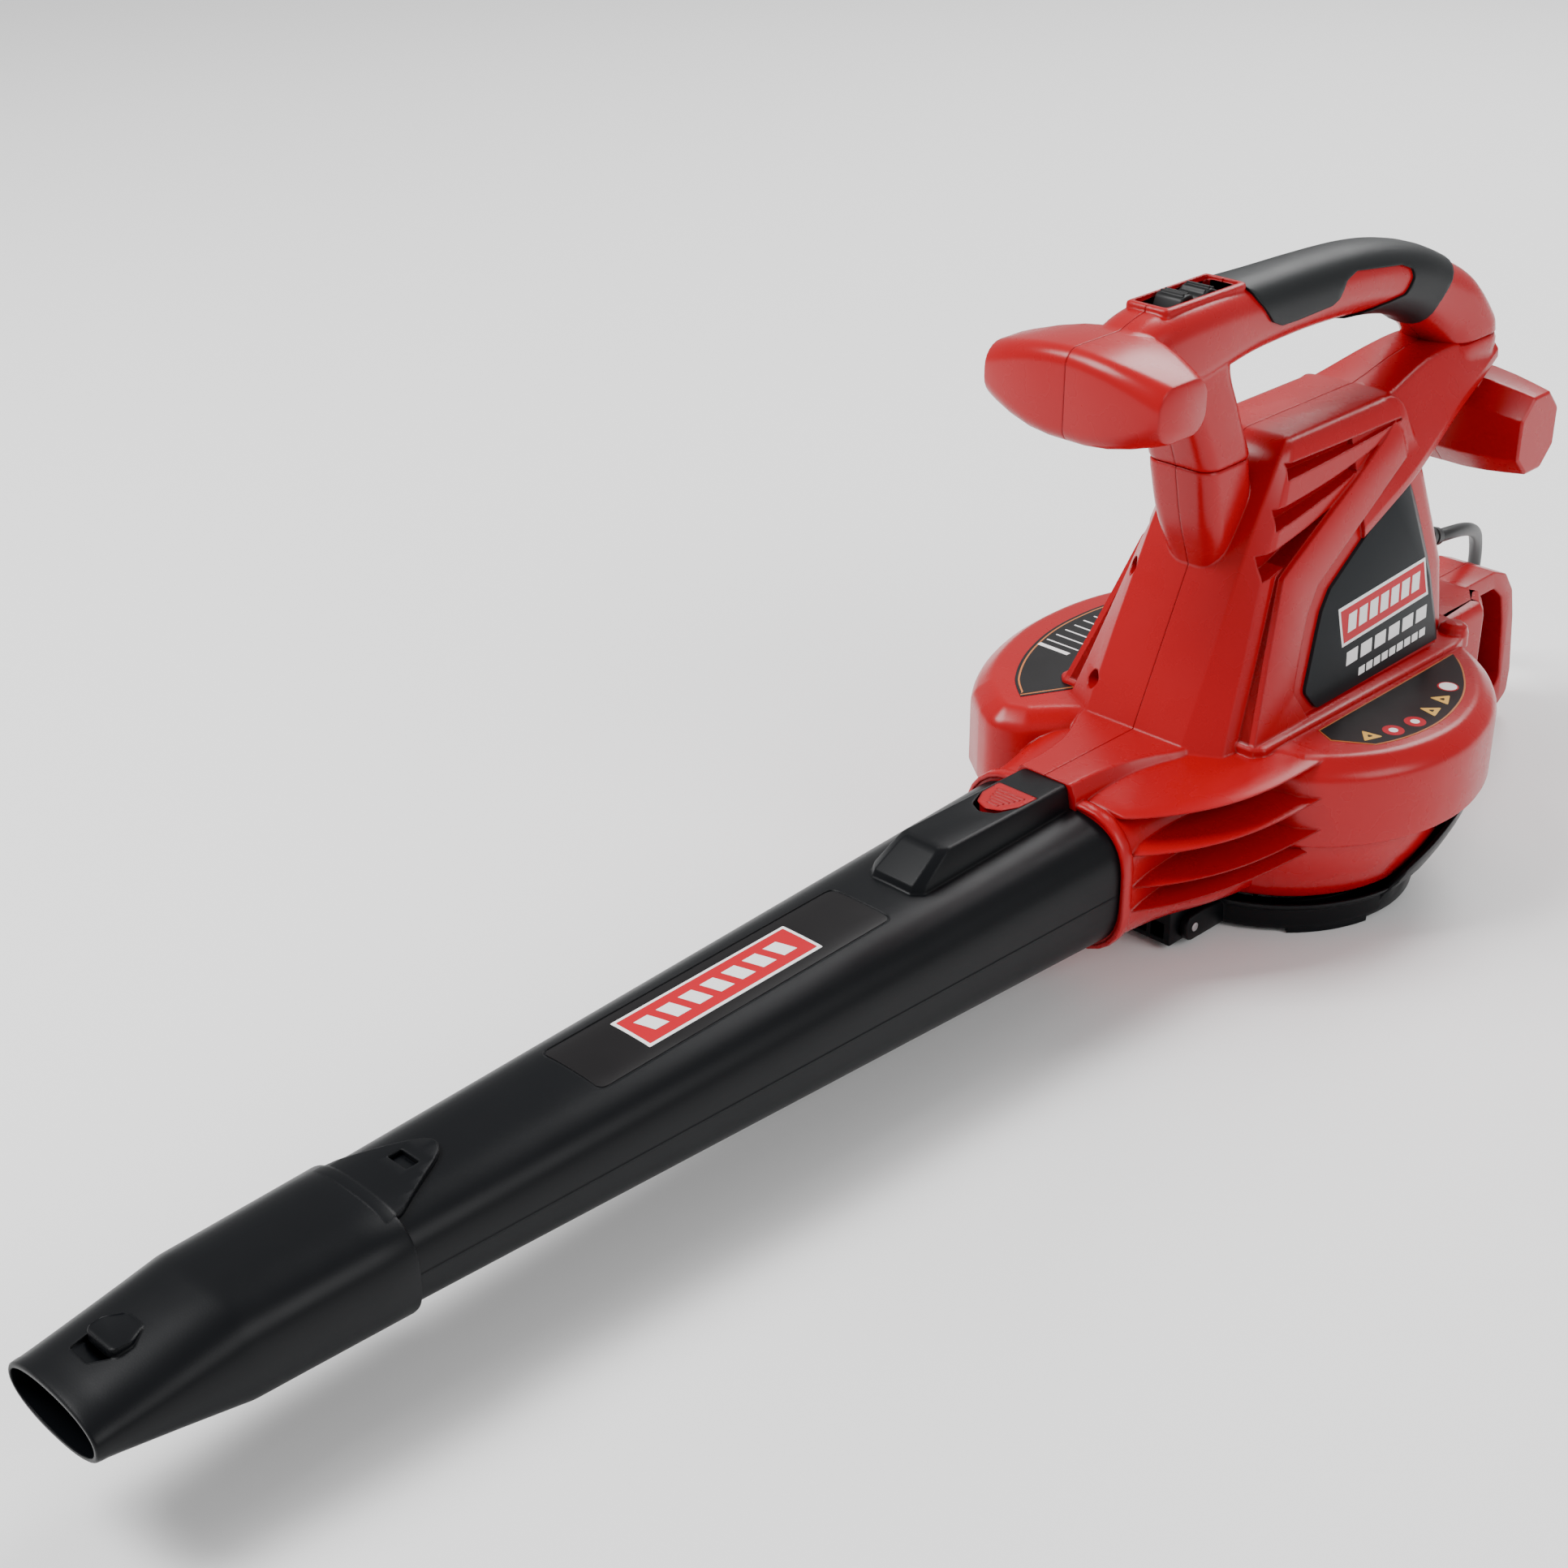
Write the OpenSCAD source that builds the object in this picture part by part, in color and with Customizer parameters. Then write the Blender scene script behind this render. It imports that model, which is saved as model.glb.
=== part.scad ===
// Corded leaf blower and vacuum: fan housing with a top handle, blower tube and flat nozzle.
// Millimetres, +Z up. The handle, tube and nozzle lie on the plane x = 0, the tube points along -Y,
// the fan and motor share one upright axis at x = fan_x, and the intake cover rests on z = 0.

/* [Fan housing] */
// sideways offset of the fan axis from the handle plane
fan_x = 20; // [16:1:22]
// height of the flat deck over the fan
deck_z = 109; // [107:0.5:110]
// height of the rim where the deck chamfer begins
rim_z = 102; // [99:0.5:103]
// height of the joint between upper housing and lower drum
seam_z = 62; // [60:1:64]
// height of the flat bottom of the lower drum
drum_z = 22; // [21:0.5:24]
// radius of the lower drum at its flat bottom
drum_r = 80; // [78:0.5:82]
// radius of the air intake in the lower drum
intake_r = 58; // [50:1:62]
// width of the sloping edge of the deck
chamfer_w = 10; // [8:0.5:11]
// wall thickness of the moulded shells
wall = 3; // [2.5:0.1:3.2]

/* [Outlet and tube] */
// height of the tube axis
tube_z = 60; // [59:0.5:61]
// y of the collar that the tube plugs into
collar_y = -170; // [-172:0.5:-168]
// half width of the neck at the collar
neck_hw = 50; // [49:0.5:51]
// half height of the neck at the collar
neck_hh = 38; // [37:0.5:39]
// y of the front end of the tube
tube_end_y = -640; // [-645:1:-630]
// half width of the tube at its front end
tube_end_hw = 32; // [31:0.5:33]
// half height of the tube at its front end
tube_end_hh = 22.5; // [21.5:0.5:23]
// wall thickness of the tube
tube_wall = 2.2; // [1.8:0.1:2.5]

/* [Nozzle] */
// y of the rear edge of the nozzle sleeve
nozzle_back_y = -588; // [-592:1:-584]
// y where the sleeve turns into the flat cone
nozzle_break_y = -664; // [-668:1:-660]
// y of the nozzle mouth
mouth_y = -727; // [-732:1:-722]
// half width of the nozzle mouth
mouth_hw = 30; // [28:0.5:32]
// half height of the nozzle mouth
mouth_hh = 11; // [10:0.5:13]

/* [Fan and motor] */
// outer radius of the fan
fan_r = 86; // [80:1:88]
// number of fan blades
blade_count = 8; // [6:1:10]
// radius of the motor shaft
shaft_r = 5; // [4.5:0.1:5.2]
// outer radius of the motor field stack
stator_r = 25.5; // [24:0.5:26]

/* [Cord] */
// diameter of the supply cord
cord_d = 8; // [7.5:0.1:8.5]

/* [Hidden] */

mid_y = 235;
red = [0.78, 0.09, 0.12];
black = [0.08, 0.08, 0.085];
steel = [0.7, 0.71, 0.72];
copper = [0.72, 0.4, 0.2];
eps = 0.05;
tube_tilt = 1.75;
hinge_y = -101;
hinge_z = 11;
pivot_y = -82;
pivot_z = 319;
// height of the cord gland on the rear of the motor housing
gland_z = 146;

// scroll radius of the rim against the angle round the fan axis
RIM = [[-50, 99], [-20, 102.5], [0, 105], [20, 108.5], [45, 115], [65, 122], [90, 130.5], [115, 138],
    [140, 144.5], [165, 149.5], [185, 152.5], [205, 157.5], [225, 164]];

function rim_at(a) = lookup(a, RIM);
function scroll(inset, a0, a1, n) = [for (i = [0:n])
    let (a = a0 + (a1 - a0) * i / n, r = rim_at(a) - inset) [fan_x + r * cos(a), r * sin(a)]];
// plan outline of the upper housing, closed across the neck
function plan(inset) = concat(scroll(inset, -50, 225, 44),
    [[-76, -130 + inset], [-52, -135 + inset], [-20, -135 + inset], [30, -132 + inset],
    [62 - inset, -106 + inset], [80 - inset, -84 + inset / 2]]);

// rounded rectangle of half width w, half height h, corner radius r, counted anticlockwise
function rrect(w, h, r, n = 5) = [for (q = [0:3]) for (i = [0:n - 1])
    let (a = 90 * q + 90 * i / (n - 1),
        cx = (q == 0 || q == 3 ? 1 : -1) * (w - r), cy = (q < 2 ? 1 : -1) * (h - r))
    [cx + r * cos(a), cy + r * sin(a)]];
// ring in a plane across the y direction, pitched up by the angle a about x
function cross_ring(x, y, z, a, w, h, r) = [for (p = rrect(w, h, r))
    [x + p[0], y - p[1] * sin(a), z + p[1] * cos(a)]];
// ring in a plane across the x direction
function side_ring(x, y, z, w, h, r) = [for (p = rrect(w, h, r)) [x, y + p[0], z + p[1]]];
// level ring
function flat_ring(x, y, z, w, h, r) = [for (p = rrect(w, h, r)) [x + p[0], y + p[1], z]];
function level(points, z) = [for (p = points) [p[0], p[1], z]];

// closed skin through rings of equal length, each ring one step further along
module loft(rings, flip = false) {
    n = len(rings[0]);
    m = len(rings);
    points = [for (ring = rings) for (p = ring) p];
    sides = [for (k = [0:m - 2]) for (i = [0:n - 1])
        let (j = (i + 1) % n, a = k * n + i, b = k * n + j)
        each [[a, b, b + n], [a, b + n, a + n]]];
    caps = [[for (i = [0:n - 1]) n - 1 - i], [for (i = [0:n - 1]) (m - 1) * n + i]];
    faces = [for (f = concat(sides, caps)) [for (i = [0:len(f) - 1]) f[len(f) - 1 - i]]];
    polyhedron(points = points, faces = flip ? concat(sides, caps) : faces, convexity = 8);
}

// ---------- fan housing ----------

module volute_solid(inset, z0, z1, z2) {
    loft([level(plan(inset), z0), level(plan(inset), z1), level(plan(inset + chamfer_w), z2)]);
}

module neck_solid(inset, y0, y1 = -46) {
    w = neck_hw - inset;
    h = neck_hh - inset;
    loft([cross_ring(0, y0, tube_z, 0, w, h, 26 - inset),
        cross_ring(0, -150, tube_z, 0, w + 1, h, 24 - inset),
        cross_ring(0, -125, tube_z + 1, 0, w + 4, h + 1, 20 - inset),
        cross_ring(3, -95, tube_z + 2, 0, w + 9, h + 1, 16 - inset),
        cross_ring(4, y1, tube_z + 2, 0, w + 14, h + 1, 14 - inset)], true);
}

// the shelf and three strakes on the right of the neck
module strakes() {
    for (s = [[107.5, 4, 0], [86, 3, 0], [68, 3, 1], [54, 3, 3]])
        translate([0, 0, s[0] - s[1]])
            linear_extrude(s[1])
                polygon([[20, -166], [50 - s[2], -168], [60 - s[2], -159], [68 - s[2], -148],
                    [77 - s[2], -128], [83 - s[2], -108], [87 - s[2], -88], [86, -72], [60, -62],
                    [20, -90]]);
}

// flat channel that carries the latch hump of the tube on to the deck
module neck_channel() {
    translate([0, 0, 92])
        linear_extrude(deck_z - 92)
            polygon([[-14.5, collar_y + 0.4], [14.5, collar_y + 0.4], [18, -140], [30, -104], [26, -90],
                [-26, -90], [-30, -104], [-18, -140]]);
}

module collar_lip() {
    difference() {
        union() {
            loft([cross_ring(0, collar_y - 1, tube_z, 0, neck_hw + 1.5, neck_hh + 1.5, 27),
                cross_ring(0, collar_y + 5, tube_z, 0, neck_hw + 1.5, neck_hh + 1.5, 27)], true);
            translate([-16, collar_y + 0.4, 85])
                cube([32, 4.6, deck_z + 0.8 - 85]);
        }
        loft([cross_ring(0, collar_y - 5, tube_z, 0, neck_hw - 0.6, neck_hh - 0.6, 25.4),
            cross_ring(0, collar_y + 9, tube_z, 0, neck_hw - 0.6, neck_hh - 0.6, 25.4)], true);
    }
}

// half outline of the motor housing at one height, mirrored to a full ring
function body_ring(z, yf, fw, yb, sw, yr, rw, yq) = [for (p = [[fw, yf], [(fw + sw) / 2, (yf * 0.55
    + yb * 0.45)], [sw, yb], [sw, yr], [(sw + rw) / 2 + 4, (yr + yq) / 2 + 3], [rw, yq], [-rw, yq],
    [-(sw + rw) / 2 - 4, (yr + yq) / 2 + 3], [-sw, yr], [-sw, yb], [-(fw + sw) / 2, (yf * 0.55
    + yb * 0.45)], [-fw, yf]]) [p[0], p[1], z]];

module motor_housing_solid(t) {
    loft([body_ring(104, -104 + t, 30 - t / 2, -66 + t, 62 - t, 96 - t, 34 - t, 126 - t),
        body_ring(150, -82 + t, 30 - t / 2, -50 + t, 51.5 - t, 94 - t, 32 - t, 124 - t),
        body_ring(200, -58 + t, 29 - t / 2, -40 + t, 41 - t, 82 - t, 26 - t, 106 - t),
        body_ring(232, -40 + t, 28 - t / 2, -30 + t, 34.5 - t, 74 - t, 22 - t, 88 - t),
        body_ring(250 - t, -24 + t, 25 - t, -20 + t, 26 - t, 60 - t, 20 - t, 72 - t)]);
}

module arm_solid(t) {
    loft([cross_ring(0, 40, 218, 0, 34 - t, 31 - t, 12 - t),
        cross_ring(0, 80, 227, 15, 30 - t, 26 - t, 12 - t),
        cross_ring(0, 120, 238, 25, 25 - t, 22 - t, 12 - t),
        cross_ring(0, 158, 244, 30, 21 - t, 14 - t, 10 - t),
        cross_ring(0, 188, 243, 30, 20 - t, 12 - t, 8 - t)], true);
}

// turned collar under the rear end of the handle
module rear_socket(t) {
    loft([flat_ring(0, 166, 232, 21 - t, 24 - t, 17 - t),
        flat_ring(0, 165, 250, 22 - t, 27 - t, 18 - t),
        flat_ring(0, 164, 257.8, 21.5 - t, 26.5 - t, 18 - t)]);
}

module pillar_base(t) {
    loft([flat_ring(0, -50, 188, 19 - t, 15 - t, 13 - t),
        flat_ring(0, -55, 215, 20 - t, 20 - t, 14 - t),
        flat_ring(0, -61, 244.8, 20.5 - t, 19.5 - t, 13 - t)]);
}

// bowed cross bar, drawn from its left end to its right end; ew and eh are the half sizes of its ends
module cross_bar(y, z, w, h, ew, eh, dy, t) {
    loft([for (s = [[-52 + t, 1.1], [-47 + t, 0.85], [-30, 0.4], [0, 0], [30, 0.4],
        [47 - t, 0.85], [52 - t, 1.1]])
        side_ring(s[0], y + dy * abs(s[0]) / 52, z, w + (ew - w) * s[1] - t,
            h + (eh - h) * s[1] - t, 9 - t)]);
}

// box behind the housing, with y0 as its front
module rear_box(t, y0) {
    translate([0, 0, 24 + t])
        linear_extrude(80 - 2 * t)
            polygon([[-40 + t, y0], [40 - t, y0], [40 - t, 176], [28, 190 - t], [-28, 190 - t],
                [-40 + t, 176]]);
}

// upright loop behind the rear box
module rear_loop() {
    rotate([90, 0, 90])
        translate([0, 0, -19])
            linear_extrude(38)
                difference() {
                    polygon([[150, 104], [220, 104], [234, 98], [246, 84], [251, 66], [257, 28],
                        [256, 14], [248, 7], [236, 7], [196, 24], [150, 24]]);
                    polygon([[190, 92], [224, 92], [233, 84], [238, 66], [244, 28], [240, 20],
                        [205, 34], [190, 36]]);
                }
}

module drum_solid(t, z0) {
    translate([fan_x, 0, 0])
        rotate_extrude($fn = 96)
            polygon([[0, z0], [drum_r - t, z0], [drum_r + 7 - t, z0 + 11], [drum_r + 13 - t, z0 + 24],
                [drum_r + 16 - t, seam_z], [0, seam_z]]);
}

// narrow slots that fan out from one point on each side of the motor housing
module louvres() {
    for (side = [-1, 1])
        for (s = [[-24, 233, 8], [-36, 213, 8], [-50, 192, 8]])
            hull() {
                translate([side * 36, s[0], s[1]])
                    cube([26, 4, s[2]], center = true);
                translate([side * 33, 62, 236 - (233 - s[1]) * 0.12])
                    cube([16, 4, 2.5], center = true);
            }
}

module housing_outer() {
    volute_solid(0, seam_z, rim_z, deck_z);
    neck_solid(0, collar_y);
    strakes();
    neck_channel();
    collar_lip();
    motor_housing_solid(0);
    arm_solid(0);
    rear_socket(0);
    cross_bar(188, 206, 25, 27, 19.5, 22.5, -4, 0);
    pillar_base(0);
    rear_box(0, 117);
    rear_loop();
}

module housing_inner() {
    volute_solid(wall, seam_z + wall, rim_z - 1, deck_z - wall);
    translate([fan_x, 0, seam_z - 1])
        cylinder(r = drum_r + 13, h = 6, $fn = 96);
    neck_solid(wall, collar_y - 8, -50);
    motor_inner();
    intersection() {
        arm_solid(wall);
        translate([-60, 40, deck_z])
            cube([120, 106, 134]);
    }
    rear_box(wall, 136);
    drum_solid(-eps, drum_z - eps);
    cross_bar(188, 206, 25, 27, 19.5, 22.5, -4, wall);
    translate([fan_x, 0, deck_z - 6])
        cylinder(r = 9, h = 12, $fn = 48);
    switch_wire_hole();
    translate([0, 132, gland_z])
        rotate([-90, 0, 0])
            cylinder(r = 7.2, h = 30, center = true, $fn = 32);
}

module motor_inner() {
    difference() {
        motor_housing_solid(wall);
        translate([-150, -150, 90])
            cube([300, 300, deck_z - 90]);
    }
}

module switch_wire_hole() {
    translate([0, -58, 230])
        cube([16, 14, 60], center = true);
}

module housing() {
    difference() {
        union() {
            difference() {
                housing_outer();
                housing_inner();
            }
            intersection() {
                screw_bosses();
                motor_housing_solid(0.5);
            }
        }
        louvres();
        side_panel_cut();
        screw_pockets();
    }
}

module half(side) {
    translate([side > 0 ? 0 : -400, -400, -10])
        cube([400, 800, 500]);
}

module housing_left() {
    color(red)
        intersection() {
            housing();
            half(-1);
        }
}

module housing_right() {
    color(red)
        intersection() {
            housing();
            half(1);
        }
}

SCREWS = [[-84, 122], [-60, 172], [60, 196], [86, 128]];

module screw_bosses() {
    for (s = SCREWS)
        translate([0, s[0], s[1]])
            rotate([0, 90, 0])
                cylinder(r = 6.5, h = 130, center = true, $fn = 12);
}

module screw_pockets() {
    for (s = SCREWS)
        translate([0, s[0], s[1]])
            rotate([0, 90, 0]) {
                translate([0, 0, -70])
                    cylinder(r = 4.4, h = 45, $fn = 12);
                translate([0, 0, -26])
                    cylinder(r = 1.98, h = 36, $fn = 12);
            }
}

module housing_screws() {
    color(steel)
        for (s = SCREWS)
            translate([-27.2, s[0], s[1]])
                rotate([0, 90, 0])
                    screw();
}

// pan head screw along +Z, head down
module screw() {
    difference() {
        rotate_extrude($fn = 32)
            polygon([[0, 0.05], [3.6, 0.05], [3.6, 2.2], [1.9, 2.2], [1.9, 33], [0, 34.5]]);
        translate([0, 0, -1])
            cylinder(r = 1.2, h = 2, $fn = 6);
    }
}

module lower_drum() {
    color(red)
        difference() {
            drum_solid(0, drum_z);
            translate([0, 0, eps])
                drum_solid(wall, drum_z + wall);
            translate([fan_x, 0, drum_z - 1])
                cylinder(r = intake_r, h = 10, $fn = 72);
            neck_solid(wall, -178, -50);
        }
}

// ---------- side panels, badge and deck plates ----------

PANEL = [[-18, 112], [-30, 116], [-33, 127], [-16, 160], [-3, 168], [77, 206], [86, 190], [92, 172],
    [93, 124], [91, 114]];

module across(points, x0, x1) {
    translate([x0, 0, 0])
        rotate([90, 0, 90])
            linear_extrude(x1 - x0)
                polygon(points);
}

module panel_skin(side, grow) {
    intersection() {
        difference() {
            motor_housing_solid(-grow);
            motor_housing_solid(1.6);
        }
        across(PANEL, side > 0 ? 30 : -70, side > 0 ? 70 : -30);
    }
}

module side_panel_cut() {
    panel_skin(1, 1);
    panel_skin(-1, 1);
}

module side_panel_left() {
    color(black)
        panel_skin(-1, 0);
}

module side_panel_right() {
    color(black)
        panel_skin(1, 0);
}

module badge_right() {
    color([0.75, 0.1, 0.12])
        intersection() {
            difference() {
                motor_housing_solid(-0.7);
                motor_housing_solid(-eps);
            }
            across([[0, 131], [86, 131], [86, 152], [0, 152]], 30, 70);
        }
}

module deck_plate_left() {
    color(black)
        translate([0, 0, deck_z])
            linear_extrude(0.6)
                polygon(scroll(24, 152, 232, 12));
}

module deck_plate_right() {
    color(black)
        translate([0, 0, deck_z])
            linear_extrude(0.6)
                polygon(scroll(19, -36, 56, 12));
}

// ---------- handle ----------

// rings of the upper handle from front to rear, grown by t
function handle_rings(t) = [for (s = [[-138, 302, 8, 17, 20], [-112, 307.5, 8, 19.5, 22],
    [-80, 310.5, 4, 20, 20.5], [-45, 312, 2, 18.5, 18.5], [-20, 312.2, 1, 17.8, 17.8],
    [15, 311.8, -1, 17.5, 17.5], [50, 310, -5, 17.5, 17.5], [80, 306, -11, 17.5, 17.5],
    [106, 299, -20, 17.8, 18], [128, 289, -32, 18.2, 19], [150, 276, -50, 19.5, 21.5],
    [164, 258, -90, 21.5, 26.5]])
    cross_ring(0, s[0], s[1], s[2], s[3] + t, s[4] + t, 13 + t)];

module pillar_top(t) {
    loft([flat_ring(0, -61, 245, 20.5 - t, 19.5 - t, 13 - t),
        flat_ring(0, -75, 275, 19.5 - t, 20 - t, 13 - t),
        flat_ring(0, -92, 302, 18.5 - t, 30 - t, 13 - t)]);
}

module handle() {
    difference() {
        union() {
            loft(handle_rings(0), true);
            pillar_top(0);
            cross_bar(-146, 302, 24, 22, 18, 12.5, -4, 0);
            translate([-12.5, -114, 316])
                cube([25, 64, 16.3]);
        }
        intersection() {
            loft(handle_rings(-wall), true);
            translate([-60, -130, 200])
                cube([120, 290, 200]);
        }
        intersection() {
            pillar_top(wall);
            translate([-60, -130, 240])
                cube([120, 100, 60]);
        }
        translate([-16, -80, 240])
            cube([32, 34, 12]);
        cross_bar(-146, 302, 24, 22, 18, 12.5, -4, wall);
        translate([-10, -111, 312])
            cube([20, 58, 30]);
        translate([-14, 144, 250])
            cube([28, 36, 20]);
    }
}

module handle_left() {
    color(red)
        intersection() {
            handle();
            half(-1);
        }
}

module handle_right() {
    color(red)
        intersection() {
            handle();
            half(1);
        }
}

// side view of the soft grip
GRIP = [[-62, 350], [-48, 322], [-33, 309], [-18, 307], [18, 308], [27, 318], [36, 321], [82, 315],
    [91, 309], [91, 302], [83, 297], [62, 295], [40, 288], [60, 278], [110, 270], [118, 288],
    [133, 300], [150, 318], [100, 345]];

module grip() {
    color(black)
        intersection() {
            difference() {
                loft(handle_rings(1.4), true);
                loft(handle_rings(eps), true);
            }
            across(GRIP, -40, 40);
        }
}

module speed_switch() {
    color(black) {
        across([[-98, 321], [-66, 321], [-65, 326], [-68, 331], [-74, 333], [-80, 330.5],
            [-84, 329.5], [-90, 334], [-96, 333], [-99, 327]], -8, 8);
        translate([0, pivot_y, pivot_z])
            rotate([0, 90, 0]) {
                cylinder(r = 1.6, h = 19.4, center = true, $fn = 32);
                cylinder(r = 3.2, h = 16, center = true, $fn = 32);
            }
    }
}

module switch_body() {
    color([0.2, 0.2, 0.22])
        difference() {
            union() {
                translate([-9, -106, 297.5])
                    cube([18, 48, 15]);
                translate([-10, -111, 312])
                    cube([20, 58, 3]);
                for (x = [-9.9, 8.4])
                    translate([x, pivot_y - 4, 314])
                        cube([1.5, 8, 8.5]);
            }
            translate([0, pivot_y, pivot_z])
                rotate([0, 90, 0])
                    cylinder(r = 1.65, h = 24, center = true, $fn = 32);
        }
}

// ---------- intake cover ----------

module intake_cover() {
    color(black)
        difference() {
            union() {
                translate([fan_x, 0, 0])
                    difference() {
                        rotate_extrude($fn = 96)
                            polygon([[64, 2.5], [80, 2.5], [80, 14], [88, 22], [94, 33], [100, 46],
                                [105, 60], [102.4, 60], [97.4, 46], [91.4, 33], [85.4, 22],
                                [77.4, 14], [77.4, 6], [66.5, 6], [66.5, 12], [64, 12]]);
                        across([[-200, 19.5], [-8, 19.5], [15, 60.5], [15, 90], [-200, 90]], -120, 120);
                    }
                translate([fan_x, 0, 0])
                    for (a = [-30, 90, 210])
                        rotate([0, 0, a - 16])
                            rotate_extrude(angle = 32, $fn = 96)
                                translate([70, 0])
                                    square([9, 3]);
                for (x = [fan_x - 27, fan_x + 22.5])
                    difference() {
                        hull() {
                            translate([x, hinge_y, hinge_z])
                                rotate([0, 90, 0])
                                    cylinder(r = 7.5, h = 4.5, $fn = 32);
                            translate([x, -76, 3])
                                cube([4.5, 2, 16]);
                        }
                        translate([fan_x, 0, -1])
                            cylinder(r = 78.5, h = 40, $fn = 96);
                    }
            }
            translate([fan_x, hinge_y, hinge_z])
                rotate([0, 90, 0])
                    cylinder(r = 2.55, h = 80, center = true, $fn = 32);
        }
}

module intake_grille() {
    color(black)
        translate([fan_x, 0, 6]) {
            for (r = [20, 42, 60])
                difference() {
                    cylinder(r = r + 2, h = 4, $fn = 72);
                    translate([0, 0, -1])
                        cylinder(r = r, h = 6, $fn = 72);
                }
            for (a = [0:30:359])
                rotate([0, 0, a])
                    translate([21, -1.2, 0])
                        cube([43, 2.4, 4]);
        }
}

module hinge_block() {
    color(black)
        difference() {
            translate([fan_x - 22, -116, 3])
                cube([44, 20, 24]);
            neck_solid(0, collar_y);
            for (x = [fan_x - 18, fan_x - 6, fan_x + 6])
                translate([x, -118, 8])
                    cube([9.5, 12, 9]);
            translate([fan_x, hinge_y, hinge_z])
                rotate([0, 90, 0])
                    cylinder(r = 2.5, h = 60, center = true, $fn = 32);
        }
}

module hinge_pin() {
    color(steel)
        translate([fan_x, hinge_y, hinge_z])
            rotate([0, 90, 0])
                cylinder(r = 2.5, h = 55, center = true, $fn = 32);
}

// ---------- motor ----------

module at_axis(z) {
    translate([fan_x, 0, z])
        children();
}

module motor_base() {
    color([0.25, 0.25, 0.27])
        difference() {
            union() {
                at_axis(deck_z)
                    cylinder(r = 31, h = 3, $fn = 72);
                at_axis(deck_z)
                    cylinder(r = 14, h = 9.5, $fn = 48);
                for (a = [70, 110, 250, 290])
                    at_axis(deck_z)
                        rotate([0, 0, a])
                            translate([22.8, 0, 0])
                                cylinder(r = 2.2, h = 17, $fn = 24);
            }
            at_axis(deck_z - 1)
                cylinder(r = 7.5, h = 12, $fn = 48);
            at_axis(deck_z + 2.5)
                cylinder(r = 11, h = 8, $fn = 48);
        }
}

module bearing() {
    difference() {
        cylinder(r = 11, h = 7, $fn = 48);
        translate([0, 0, -1])
            cylinder(r = shaft_r + eps, h = 9, $fn = 48);
        for (z = [-1, 6.4])
            translate([0, 0, z])
                difference() {
                    cylinder(r = 9.4, h = 1.6, $fn = 48);
                    cylinder(r = 6.6, h = 1.6, $fn = 48);
                }
    }
}

module bearing_lower() {
    color(steel)
        at_axis(deck_z + 2.5)
            bearing();
}

module bearing_upper() {
    color(steel)
        at_axis(189)
            bearing();
}

module stator() {
    color(steel)
        difference() {
            at_axis(126)
                cylinder(r = stator_r, h = 34, $fn = 72);
            at_axis(125)
                cylinder(r = 17.6, h = 36, $fn = 72);
            for (side = [0, 180])
                at_axis(125)
                    rotate([0, 0, side - 52])
                        rotate_extrude(angle = 104, $fn = 72)
                            translate([19.5, 0])
                                square([3.5, 36]);
        }
}

module field_coils() {
    color(copper)
        for (side = [0, 180])
            at_axis(0)
                rotate([0, 0, side])
                    difference() {
                        rotate([0, 0, -51])
                            rotate_extrude(angle = 102, $fn = 72)
                                translate([19.7, 119.5])
                                    square([3.1, 47]);
                        rotate([0, 0, -36])
                            rotate_extrude(angle = 72, $fn = 72)
                                translate([19, 125.5])
                                    square([5, 35]);
                    }
}

module rotor() {
    color(steel) {
        difference() {
            at_axis(126)
                cylinder(r = 17, h = 34, $fn = 72);
            at_axis(125)
                cylinder(r = shaft_r, h = 36, $fn = 48);
            for (a = [0:30:359])
                at_axis(125)
                    rotate([0, 0, a])
                        translate([11, -1.2, 0])
                            cube([8, 2.4, 36]);
        }
        for (z = [121, 160])
            difference() {
                at_axis(z)
                    cylinder(r = 15, h = 5, $fn = 48);
                at_axis(z - 1)
                    cylinder(r = shaft_r, h = 7, $fn = 48);
            }
    }
}

module commutator() {
    color(copper)
        difference() {
            at_axis(170)
                cylinder(r = 10.5, h = 13, $fn = 48);
            at_axis(169)
                cylinder(r = shaft_r, h = 15, $fn = 48);
            for (a = [0:15:359])
                at_axis(171)
                    rotate([0, 0, a])
                        translate([9.6, -0.25, 0])
                            cube([2, 0.5, 13]);
        }
}

module brush_holders() {
    color([0.3, 0.25, 0.1])
        for (side = [-1, 1])
            translate([fan_x - 4, side > 0 ? 11 : -26, 171])
                cube([8, 15, 15]);
}

module top_bracket() {
    color([0.25, 0.25, 0.27])
        difference() {
            union() {
                translate([fan_x - 12, -28, 186])
                    cube([24, 56, 3]);
                at_axis(186)
                    cylinder(r = 14, h = 10, $fn = 48);
                for (a = [70, 110, 250, 290])
                    at_axis(160)
                        rotate([0, 0, a])
                            translate([22.8, 0, 0])
                                cylinder(r = 2.2, h = 27, $fn = 24);
            }
            at_axis(185)
                cylinder(r = 7.5, h = 12, $fn = 48);
            at_axis(189)
                cylinder(r = 11, h = 8, $fn = 48);
        }
}

module shaft() {
    color(steel) {
        at_axis(62)
            cylinder(r = shaft_r, h = 135, $fn = 48);
        at_axis(52)
            cylinder(r = 4, h = 11, $fn = 48);
    }
}

// outline of one swept blade from the eye to the rim
function blade_edge(side) = [for (i = [0:6])
    let (k = side > 0 ? i : 6 - i, r = 26 + (fan_r - 27) * k / 6, a = -34 * k / 6)
    [r * cos(a) - side * 1.2 * sin(a), r * sin(a) + side * 1.2 * cos(a)]];

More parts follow.
